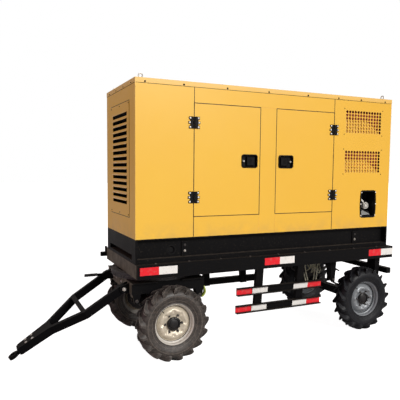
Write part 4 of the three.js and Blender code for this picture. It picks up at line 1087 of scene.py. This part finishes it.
def make_rim(end, word, side):
    """The rim's barrel, the pressed disc in it, black rings of painted shade in the creases at its edges, and
    the valve.
    """
    _, _, centre, size = extent(f"rim_{end}_{word}")
    body = f"wheel_{end}_{word}"
    half = size.y
    flange = size.z
    at = wheel_axes(side, centre)
    barrel = Form(at)
    face = [(flange - 0.008, half - 0.002), (flange, half - 0.006), (flange + 0.0008, half - 0.0105),
            (flange - 0.006, half - 0.013), (0.203, half - 0.016), (0.201, half - 0.034),
            (0.184, half - 0.046)]
    back = [(0.184, 0.052 - half), (0.201, 0.034 - half), (0.203, 0.016 - half),
            (flange - 0.006, 0.013 - half), (flange, 0.006 - half), (flange - 0.008, 0.002 - half),
            (0.199, 0.014 - half), (0.197, 0.036 - half), (0.180, 0.055 - half)]
    inside = [(0.180, half - 0.049), (0.197, half - 0.036), (0.199, half - 0.014)]
    barrel.lathe(face + back + inside, 72, closed=True)
    piece = make(f"rim_barrel_{end}_{word}", barrel, "rim_bright" if end == "front" else "rim_silver", body)
    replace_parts(piece, f"rim_{end}_{word}")
    disc = Form(at)
    radii = [0.060, 0.072, 0.082, 0.092] + [0.092 + 0.0078 * k for k in range(1, 12)] + [0.183]
    deep = 0.015 if end == "front" else -0.012
    seat = half - DISC_INSET
    rings = []
    for angle in turns(96):
        face_points = [(r, seat + disc_depth(r, angle, 8, deep)) for r in radii]
        back_points = [(r, h - 0.007) for r, h in reversed(face_points)]
        rings.append([polar(r, angle, h) for r, h in face_points + back_points + face_points[:1]])
    disc.loft(rings, ring_closed=False, loop=True)
    make(f"rim_disc_{end}_{word}", disc, "rim_cream" if end == "front" else "rim_silver", body, smooth=40)
    # Thin black rings stand in for the shade in the creases between the barrel's rings and round the disc:
    # painted shade.
    crease_shade_rings = Form(at)
    for r, h, width in ((0.1835, half - 0.0475, 0.0036), (0.2032, half - 0.0165, 0.0020)):
        crease_shade_outline = [(r - width, h - 0.003), (r - width, h + 0.0010), (r, h + 0.0022), (r, h - 0.003)]
        crease_shade_rings.lathe(crease_shade_outline, 72, closed=True)
    make(f"rim_crease_shade_{end}_{word}", crease_shade_rings, "cable_sheath", body)
    valve = Form(at)
    valve_angle = 2.3
    stem = ((0.186, half - 0.05), (0.182, half - 0.03), (0.176, half - 0.006))
    valve.hose([polar(r, valve_angle, h) for r, h in stem], 0.0048)
    make(f"valve_{end}_{word}", valve, "cable_sheath", body)


def make_hub(end, word, side):
    """The drum and hub with its cap, bolts and wheel nuts."""
    low, high, middle, _ = extent(f"hub_{end}_{word}")
    _, _, rim_middle, rim_half = extent(f"rim_{end}_{word}")
    body = f"wheel_{end}_{word}"
    inner_y = min(abs(low.y), abs(high.y))
    length = high.y - low.y
    seat = abs(rim_middle.y) - inner_y + rim_half.y - DISC_INSET
    at = wheel_axes(side, (middle.x, side * inner_y, middle.z))
    hub = Form(at)
    hub.lathe([(0, 0), (0.147, 0), (0.147, 0.010), (0.1465, 0.012), (0.1465, seat - 0.026),
               (0.140, seat - 0.018), (0.115, seat - 0.009), (0, seat - 0.009)], 56)
    hub.lathe([(0, seat - 0.012), (0.0590, seat - 0.012), (0.0590, seat + 0.006), (0.0705, seat + 0.010),
               (0.0710, seat + 0.022), (0.066, seat + 0.030), (0.056, seat + 0.034), (0.052, length - 0.016),
               (0.046, length - 0.006), (0.030, length - 0.001), (0, length)], 40)
    for angle in turns(6):
        bolt(hub, polar(0.0620, angle + math.pi / 6, seat + 0.029), (0, 0, 1), 0.0085)
    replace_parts(make(f"hub_cap_{end}_{word}", hub, "hub_paint", body), f"hub_{end}_{word}")
    nuts = Form(at)
    for angle in turns(6):
        nut = nuts.shifted(*polar(0.0925, angle, seat))
        nut.lathe([(0, 0.0), (0.0140, 0.0), (0.0140, 0.006), (0.0110, 0.009), (0, 0.009)], 16)
        nut.lathe([(0, 0.006), (0.0112, 0.006), (0.0112, 0.022), (0.0090, 0.0245), (0, 0.0245)], 6)
        nut.lathe([(0, 0.02), (0.0055, 0.02), (0.0055, 0.032), (0.0046, 0.034), (0, 0.034)], 12)
    make(f"wheel_nuts_{end}_{word}", nuts, "ring_metal", body)


# ---------------------------------------------------------------- springs and running gear


LEAVES = 7


LEAF_THICK = 0.0078


LEAF_HALF_WIDTH = 0.028


SPRING_EYE_INSET = 0.019


class Spring:
    """The places of one leaf spring, read from its CAD node."""

    def __init__(self, node):
        low, high, middle, half = extent(node)
        self.x = middle.x
        self.y = middle.y
        self.half_span = half.x - SPRING_EYE_INSET
        self.eye_z = high.z - SPRING_EYE_INSET
        self.top_z = low.z + LEAVES * LEAF_THICK
        self.rise = self.eye_z - 0.012 - self.top_z

    def arc(self, s):
        """How high the spring's arc lies over its middle at s from it."""
        return self.rise * (s / self.half_span) ** 2


def spring_half(spring, way):
    """The leaves, eye and clips on one side of the axle."""
    form = Form(Matrix.Translation((spring.x, spring.y, 0)))
    steps = 14
    for leaf in range(LEAVES):
        length = spring.half_span * (1.0 - 0.125 * leaf) - (0.0 if leaf else 0.014)
        width = LEAF_HALF_WIDTH - (0.0008 if leaf % 2 else 0.0)
        rings = []
        for index in range(steps + 1):
            s = length * index / steps
            z = spring.top_z - leaf * LEAF_THICK + spring.arc(s)
            half = width * (0.72 if leaf and index == steps else 1.0)
            under = z - LEAF_THICK + 0.0004
            rings.append([(way * s, y, h) for y, h in ((-half, under), (half, under), (half, z), (-half, z))])
        form.loft(rings)
    eye = form.placed(Matrix.Translation((way * spring.half_span, -LEAF_HALF_WIDTH, spring.eye_z))
                      @ facing((0, 0, 0), (0, 1, 0)))
    width = 2 * LEAF_HALF_WIDTH
    eye.lathe([(0.011, 0), (0.018, 0), (0.018, width), (0.011, width)], 24, closed=True)
    clip = LEAF_HALF_WIDTH + 0.003
    for share, leaves in ((0.42, LEAVES * 0.58 + 0.4), (0.66, 2.6)):
        s = spring.half_span * share
        x = way * s
        z = spring.top_z + spring.arc(s)
        form.block((x - 0.010, -clip, z - LEAF_THICK * leaves), (x + 0.010, clip, z + 0.003), 0.001)
    return form


def spring_clamp(spring, foot):
    """The plates and U-bolts that hold a spring on its axle. foot is the height of the lower plate."""
    clamp = Form(Matrix.Translation((spring.x, spring.y, 0)))
    top = spring.top_z
    leg = 0.0345
    clamp.block((-0.055, -0.036, top + 0.0006), (0.055, 0.036, top + 0.014), 0.002)
    for x, y in itertools.product((-0.040, 0.040), (-leg, leg)):
        clamp.tube([(x, y, z) for z in (foot - 0.020, foot + 0.05, top, top + 0.020)], 0.0065, 10)
    for x in (-0.040, 0.040):
        bend = (math.pi * k / 8 for k in range(9))
        clamp.tube([(x, leg * math.cos(a), top + 0.016 + 0.010 * math.sin(a)) for a in bend], 0.0065, 10)
        for y in (-leg, leg):
            bolt(clamp, (x, y, foot), (0, 0, -1), 0.011)
    clamp.block((-0.056, -0.044, foot), (0.056, 0.044, foot + 0.012), 0.002)
    return clamp


def make_springs(end, word):
    """Each pack is two halves that meet at the axle."""
    node = f"leaf_spring_{end}_{word}"
    spring = Spring(node)
    parent = "bogie" if end == "front" else "chassis"
    for part, way in (("ahead", -1), ("behind", 1)):
        eye_end = Vector((spring.x + way * spring.half_span, spring.y, spring.eye_z))
        axle_end = Vector((spring.x, spring.y, spring.eye_z))
        piece = make(f"spring_leaves_{end}_{word}_{part}", spring_half(spring, way), "spring_metal", parent,
                     blend=(f"axle_{end}", eye_end, axle_end))
        if part == "ahead":
            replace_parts(piece, node)
    clamp = spring_clamp(spring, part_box(f"{end}_axle")[0].z - 0.010)
    make(f"spring_clamps_{end}_{word}", clamp, "spring_metal", f"axle_{end}")
    pins = Form()
    for way, face in itertools.product((-1, 1), (-1, 1)):
        place = (spring.x + way * spring.half_span, spring.y + face * 0.047, spring.eye_z)
        bolt(pins, place, (0, face, 0), 0.014)
    make(f"spring_pins_{end}_{word}", pins, "spring_metal", parent)


def make_bogie_details():
    """Bolts and hoses of the bogie, and the turntable's race with its bolts."""
    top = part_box("bogie_frame")[1].z
    _, axle_high, axle, _ = extent("front_axle")
    _, ring_high, _, ring_half = extent("turntable_lower_ring")
    radius = ring_half.y
    pale = Form()
    for word, side in SIDES:
        low, high, pin, _ = extent(f"drawbar_pin_{word}")
        for y, face in ((low.y, -1), (high.y, 1)):
            bolt(pale, (pin.x, y, pin.z), (0, face, 0), 0.012)
        for y in (0.10, 0.20):
            bolt(pale, (axle.x - 0.398, side * y, top - 0.055), (-1, 0, 0), 0.012)
    make("bogie_bolts", pale, "bright_steel", "bogie")
    race = Form(Matrix.Translation((axle.x, 0, ring_high.z)))
    race.lathe([(radius + 0.0002, -0.005), (radius + 0.003, -0.003), (radius + 0.003, -0.0006),
                (radius + 0.0002, -0.0002)], 72, closed=True)
    bolts = 20
    for angle in turns(bolts):
        turned = angle + math.pi / bolts
        bolt(race, polar(radius, turned, -0.016), polar(1, turned), 0.007)
    make("turntable_fittings", race, "ring_metal", "bogie")
    coil = Form()
    for y in (-0.40, -0.43):
        coil.hose([(axle.x + 0.36, y + 0.10, top - 0.04), (axle.x + 0.41, y + 0.02, top - 0.10),
                   (axle.x + 0.43, y, top - 0.17), (axle.x + 0.39, y + 0.01, top - 0.22),
                   (axle.x + 0.34, y + 0.06, top - 0.17), (axle.x + 0.33, y + 0.10, top - 0.05)], 0.009)
    make("coiled_hose", coil, "lime_cable", "bogie")
    hoses = Form()
    for start, side in itertools.product((0.12, 0.19), (-1, 1)):
        hoses.hose([(axle.x + 0.30, side * start, top - 0.05),
                    (axle.x + 0.20, side * (start + 0.04), top - 0.15),
                    (axle.x + 0.10, side * (start + 0.09), axle_high.z + 0.10),
                    (axle.x + 0.04, side * (start + 0.12), axle_high.z + 0.015)], 0.010)
    make("brake_hoses_front", hoses, "cable_sheath", "bogie",
         blend=("axle_front", (axle.x, 0, top - 0.05), (axle.x, 0, axle_high.z)))


def make_brake_chambers(end):
    """Two brake chambers on brackets, with their push rods."""
    low, _, axle, _ = extent(f"{end}_axle")
    chambers = Form()
    can = [(0, 0), (0.045, 0), (0.060, 0.010), (0.062, 0.045), (0.066, 0.048), (0.066, 0.054),
           (0.062, 0.057), (0.055, 0.085), (0.030, 0.092), (0, 0.092)]
    for side in (-1, 1):
        y = side * 0.29
        chamber = chambers.placed(facing((axle.x + 0.11, y, axle.z + 0.02), (0, side, 0)))
        chamber.lathe(can, 28)
        chamber.tube([(-0.02, 0.0, 0.088), (-0.02, 0.0, 0.13)], 0.008)
        bracket = ((axle.x + 0.040, y - 0.03, low.z + 0.03), (axle.x + 0.120, y + 0.004, low.z + 0.045))
        chambers.block(*bracket, 0.002)
    make(f"brake_chambers_{end}", chambers, "hub_paint", f"axle_{end}")


def make_drawbar_details():
    """Bolts through the drawbar's nose plate, square to its slope."""
    bits = Form()
    _, _, eye, _ = extent("tow_eye")
    pivot = joint_place("drawbar_pitch")
    start = Vector((pivot.x, 0, pivot.z))
    slope = (Vector((eye.x, 0, eye.z)) - start).normalized()
    across = Vector((0, 1, 0))
    up = across.cross(slope)
    if up.z < 0:
        up = -up
    for along, half in ((0.985, 0.055), (1.055, 0.045)):
        for y in (-half, half):
            bolt(bits, start + slope * along + up * 0.041 + across * y, up, 0.011)
    make("drawbar_bolts", bits, "bright_steel", "towbar")


def make_lever_grip():
    """A ribbed rubber grip on the upper part of the parking brake's lever."""
    grip = Form()
    low, high, middle, _ = extent("brake_lever")
    ribs = 20
    handle_z = low.z + (high.z - low.z) * 0.64
    rings = []
    for k in range(ribs + 1):
        x = low.x + 0.002 + 0.140 * k / ribs
        swell = 0.0178 if k % 2 else 0.0160
        rings.append([(x, middle.y + swell * math.cos(a), handle_z + swell * 0.95 * math.sin(a))
                      for a in turns(14)])
    grip.loft(rings)
    make("brake_lever_grip", grip, "cable_sheath", "parking_lever")


# ---------------------------------------------------------------- control end

PANEL_FACE = 0.0084


def make_control_panel():
    """The fascia with its gauges, screen, breaker, lamps and stop button."""
    _, high, middle, _ = extent("control_panel")
    at = axes_at((0, 1, 0), (0, 0, 1), (1, 0, 0), (high.x, 0, middle.z))
    face = Form(at)
    face.moulding(0.27, 0.50, 0.015, [(0.0, 0.0004), (0.0, 0.006), (0.003, 0.008), (0.02, 0.0082)])
    make("panel_fascia", face, "panel_grey")
    gauges = tuple(itertools.product((-0.14, 0.0, 0.14), (0.36, 0.23)))
    bezel = [(0.0, PANEL_FACE), (0.0, 0.018), (0.004, 0.021), (0.008, 0.021), (0.011, 0.014)]
    screen = [(0.0, PANEL_FACE), (0.0, 0.022), (0.005, 0.026), (0.012, 0.026), (0.016, 0.018)]
    breaker = [(0.0, PANEL_FACE), (0.0, 0.026), (0.004, 0.030), (0.012, 0.030)]
    toggle = [(0.0, 0.028), (0.0, 0.037), (0.003, 0.040)]
    dark = Form(at)
    for place in gauges:
        dark.shifted(*place).moulding(0.048, 0.048, 0.006, bezel)
    dark.shifted(0.0, 0.04).moulding(0.150, 0.085, 0.012, screen)
    dark.shifted(0.10, -0.26).moulding(0.075, 0.12, 0.006, breaker)
    dark.shifted(0.10, -0.26).moulding(0.014, 0.030, 0.004, toggle)
    make("panel_instruments", dark, "black_plastic")
    panes = Form(at)
    for place in gauges:
        panes.shifted(*place).moulding(0.036, 0.036, 0.004, [(0.0, 0.0142), (0.0, 0.0165), (0.002, 0.0175)])
    panes.shifted(0.0, 0.055).moulding(0.100, 0.045, 0.004, [(0.0, 0.0182), (0.0, 0.0205), (0.002, 0.0215)])
    make("panel_glasses", panes, "dark_glass")
    lamps = Form(at)
    for k in range(5):
        lamp = lamps.shifted(-0.10 + 0.05 * k, -0.075, PANEL_FACE)
        lamp.lathe([(0, 0), (0.011, 0), (0.011, 0.008), (0.007, 0.012), (0, 0.013)], 16)
    make("panel_lamps", lamps, "lamp_green")
    stop = Form(at @ Matrix.Translation((-0.13, -0.22, PANEL_FACE)))
    stop.lathe([(0, 0), (0.012, 0), (0.012, 0.018), (0.024, 0.020), (0.026, 0.026), (0.022, 0.032),
                (0, 0.035)], 28)
    make("stop_button", stop, "red_plastic")


def make_window():
    """The control door's window: a rubber profile round a dark pane."""
    rubber_seal = Form(on_rear(0, WINDOW_Z))
    rubber_seal.moulding(0.204, 0.169, 0.020, [
        (0.0, 0.0004), (0.0, 0.004), (0.004, 0.007), (0.016, 0.007), (0.019, 0.003), (0.019, -0.006),
        (0.0145, -0.006), (0.0145, 0.0004)], loop=True)
    make("window_rubber", rubber_seal, "cable_sheath", "control_door")
    pane = Form(on_rear(0, WINDOW_Z))
    pane.moulding(0.187, 0.152, 0.010, [(0.0, -0.004), (0.0, 0.0), (0.002, 0.0015)])
    make("window_pane", pane, "dark_glass", "control_door")


# ---------------------------------------------------------------- generating set


def make_engine_details():
    """The engine's exhaust manifold, oil filters, air cleaner and coolant hoses."""
    low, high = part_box("engine")
    port_z = low.z + 0.62
    y = 0.20
    manifold = Form()
    manifold.hose([(low.x + 0.16, y, port_z), (low.x + 0.45, y + 0.02, port_z + 0.01),
                   (low.x + 0.84, y, port_z)], 0.034, 14)
    for k in range(4):
        x = low.x + 0.20 + 0.20 * k
        port = [(x, y - 0.10, port_z - 0.02), (x, y - 0.05, port_z + 0.004), (x, y, port_z)]
        manifold.hose(port, 0.022, 12)
    make("exhaust_manifold", manifold, "exhaust_metal")
    filters = Form()
    for k in range(3):
        canister = filters.shifted(low.x + 0.30 + 0.13 * k, low.y - 0.02, low.z + 0.30)
        canister.lathe([(0, 0), (0.036, 0.002), (0.046, 0.012), (0.046, 0.140), (0.050, 0.143),
                        (0.050, 0.156), (0.036, 0.162), (0, 0.162)], 24)
    make("oil_filters", filters, "inner_baffle")
    cleaner = Form(facing((low.x + 0.30, low.y + 0.04, high.z - 0.10), (1, 0, 0)))
    cleaner.lathe([(0, 0), (0.10, 0.004), (0.118, 0.020), (0.118, 0.34), (0.124, 0.345), (0.124, 0.362),
                   (0.10, 0.392), (0.05, 0.398), (0, 0.398)], 36)
    make("air_cleaner", cleaner, "black_plastic")
    radiator_low, radiator_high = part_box("radiator")
    pipes = Form()
    for y, z in ((0.22, radiator_high.z - 0.22), (-0.24, radiator_low.z + 0.20)):
        pipes.hose([(radiator_high.x - 0.02, y, z), (radiator_high.x + 0.10, y, z - 0.02),
                    (low.x - 0.04, y * 0.8, port_z), (low.x + 0.05, y * 0.6, port_z - 0.02)], 0.026, 14)
    make("coolant_hoses", pipes, "cable_sheath")


def make_plant_details():
    """The battery's cables, the alternator's lid and the radiator's fins."""
    low, high, battery, _ = extent("battery")
    wires = Form()
    for y, lean in ((low.y + 0.05, -0.12), (high.y - 0.05, 0.12)):
        x = battery.x + lean
        wires.hose([(x, y, high.z - 0.004), (x, y, high.z + 0.05), (x - 0.10, y - 0.04, high.z + 0.07),
                    (x - 0.26, y - 0.10, high.z - 0.05), (low.x - 0.12, y - 0.16, low.z + 0.08)], 0.009)
    make("battery_cables", wires, "cable_sheath")
    _, high, alternator, _ = extent("alternator")
    terminal = Form(Matrix.Translation((alternator.x, 0, high.z)))
    terminal.moulding(0.19, 0.15, 0.01, [(0.0, 0.0004), (0.0, 0.030), (0.004, 0.034)])
    for u, v in itertools.product((-0.165, 0.165), (-0.125, 0.125)):
        bolt(terminal, (u, v, 0.033), (0, 0, 1), 0.008)
    make("terminal_box_lid", terminal, "alternator_paint")
    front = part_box("radiator")[0]
    fins = Form()
    for k in range(36):
        z = front.z + 0.12 + 0.0305 * k
        fins.block((front.x - 0.0045, -0.34, z), (front.x - 0.0004, 0.34, z + 0.012), 0.001)
    make("radiator_fins", fins, "radiator_paint")


# ---------------------------------------------------------------- camera, light and floor

SENSOR_MM = 36
LENS_MM = 42.64
LENS_SHIFT = 0.0143
CAMERA_PLACE = (-2.9898, -4.9415, 1.9292)
CAMERA_YAW = 24.236
CAMERA_DOWN = 4.344
CAMERA_ROLL = 0.465


KEY_SUN = ("key", (0.35, -0.90, 0.50), 2.62, 22, (1.0, 0.98, 0.95))


FILL_SUN = ("fill", (0.25, 0.90, 0.55), 0.55, 60, (0.97, 0.98, 1.0))


FRONT_SUN = ("front_fill", (-0.95, -0.10, 0.35), 0.37, 60, (1.0, 0.46, 0.58))


SKY_LIGHT = 0.27


SKY_TINT = (1.0, 0.91, 0.88, 1)


FLOOR_SIZE = 60.0


FLOOR_GLOW = 0.94


def make_camera():
    """The photographer's camera, whose place is measured from the middle of the skid base."""
    yaw, down, roll = (math.radians(v) for v in (CAMERA_YAW, CAMERA_DOWN, CAMERA_ROLL))
    forward = Vector((math.sin(yaw) * math.cos(down), math.cos(yaw) * math.cos(down), -math.sin(down)))
    level = Vector((math.cos(yaw), -math.sin(yaw), 0))
    upright = level.cross(forward)
    right = level * math.cos(roll) + upright * math.sin(roll)
    top = upright * math.cos(roll) - level * math.sin(roll)
    camera = bpy.data.objects.new("camera", bpy.data.cameras.new("camera"))
    bpy.context.scene.collection.objects.link(camera)
    camera.data.sensor_width = SENSOR_MM
    camera.data.lens = LENS_MM
    camera.data.shift_x = LENS_SHIFT
    camera.data.shift_y = LENS_SHIFT
    camera.matrix_world = axes_at(right, top, -forward, Vector(CAMERA_PLACE) + Vector((MIDDLE_X, 0, 0)))
    bpy.context.scene.camera = camera


def add_sun(name, toward, strength, angle, colour):
    """A soft distant lamp that stands in the direction toward."""
    light = bpy.data.lights.new(name, "SUN")
    light.energy = strength
    light.angle = math.radians(angle)
    light.color = colour
    lamp = bpy.data.objects.new(name, light)
    bpy.context.scene.collection.objects.link(lamp)
    lamp.matrix_world = facing((0, 0, 5), toward)


def make_backdrop():
    """White where the camera sees it, and a dimmer warm sky as light."""
    world = bpy.data.worlds.new("studio")
    bpy.context.scene.world = world
    world.use_nodes = True
    tree = world.node_tree
    backdrop = tree.nodes["Background"]
    seen = tree.nodes.new("ShaderNodeLightPath").outputs["Is Camera Ray"]
    strength = tree.nodes.new("ShaderNodeMapRange")
    strength.inputs["To Min"].default_value = SKY_LIGHT
    strength.inputs["To Max"].default_value = 1.0
    tree.links.new(seen, strength.inputs["Value"])
    sky = tree.nodes.new("ShaderNodeMix")
    sky.data_type = "RGBA"
    sky.inputs[6].default_value = SKY_TINT
    sky.inputs[7].default_value = (1, 1, 1, 1)
    tree.links.new(seen, sky.inputs[0])
    tree.links.new(sky.outputs[2], backdrop.inputs["Color"])
    tree.links.new(strength.outputs["Result"], backdrop.inputs["Strength"])


def make_floor():
    """A pale sheet under the wheels that glows where the camera sees it."""
    mesh = bpy.data.meshes.new("floor")
    size = FLOOR_SIZE
    corners = [(-size, -size, 0), (size, -size, 0), (size, size, 0), (-size, size, 0)]
    mesh.from_pydata(corners, [], [(0, 1, 2, 3)])
    n = Nodes("floor")
    sheet = n.mix(n.mottle(0.8, 3.0, 0.3, 0.7), (0.56, 0.56, 0.56), (0.54, 0.54, 0.54))
    n.finish(sheet, 0.9, 0.0, n.noise(60.0), 0.0004)
    seen = n.node("ShaderNodeLightPath").outputs["Is Camera Ray"]
    n.feed(n.shader.inputs["Emission Color"], (1, 1, 1))
    n.feed(n.shader.inputs["Emission Strength"], n.times(seen, FLOOR_GLOW))
    mesh.materials.append(MATERIALS["floor"])
    floor = bpy.data.objects.new("floor", mesh)
    floor.location.z = CAD_BOX[0].z - 0.001
    bpy.context.scene.collection.objects.link(floor)


def make_studio():
    make_backdrop()
    for sun in (KEY_SUN, FILL_SUN, FRONT_SUN):
        add_sun(*sun)
    bpy.context.scene.view_settings.view_transform = "Standard"
    make_floor()


# ---------------------------------------------------------------- the whole machine

make_materials()
dress_nodes()
make_hinges()
for end, (word, side) in CORNERS:
    make_latch(end, word, side)
    make_tyre(end, word, side)
    make_rim(end, word, side)
    make_hub(end, word, side)
    make_springs(end, word)
make_control_latch()
for word, side in SIDES:
    make_vents(word, side)
make_panel_screws()
make_filler_tray()
make_filler()
make_lifting_eyes()
make_door_trim()
make_seam_sealant()
make_tapes()
make_chassis_bolts()
make_underdeck()
make_bogie_details()
for end in ENDS:
    make_brake_chambers(end)
make_drawbar_details()
make_lever_grip()
make_control_panel()
make_window()
make_engine_details()
make_plant_details()
make_camera()
make_studio()
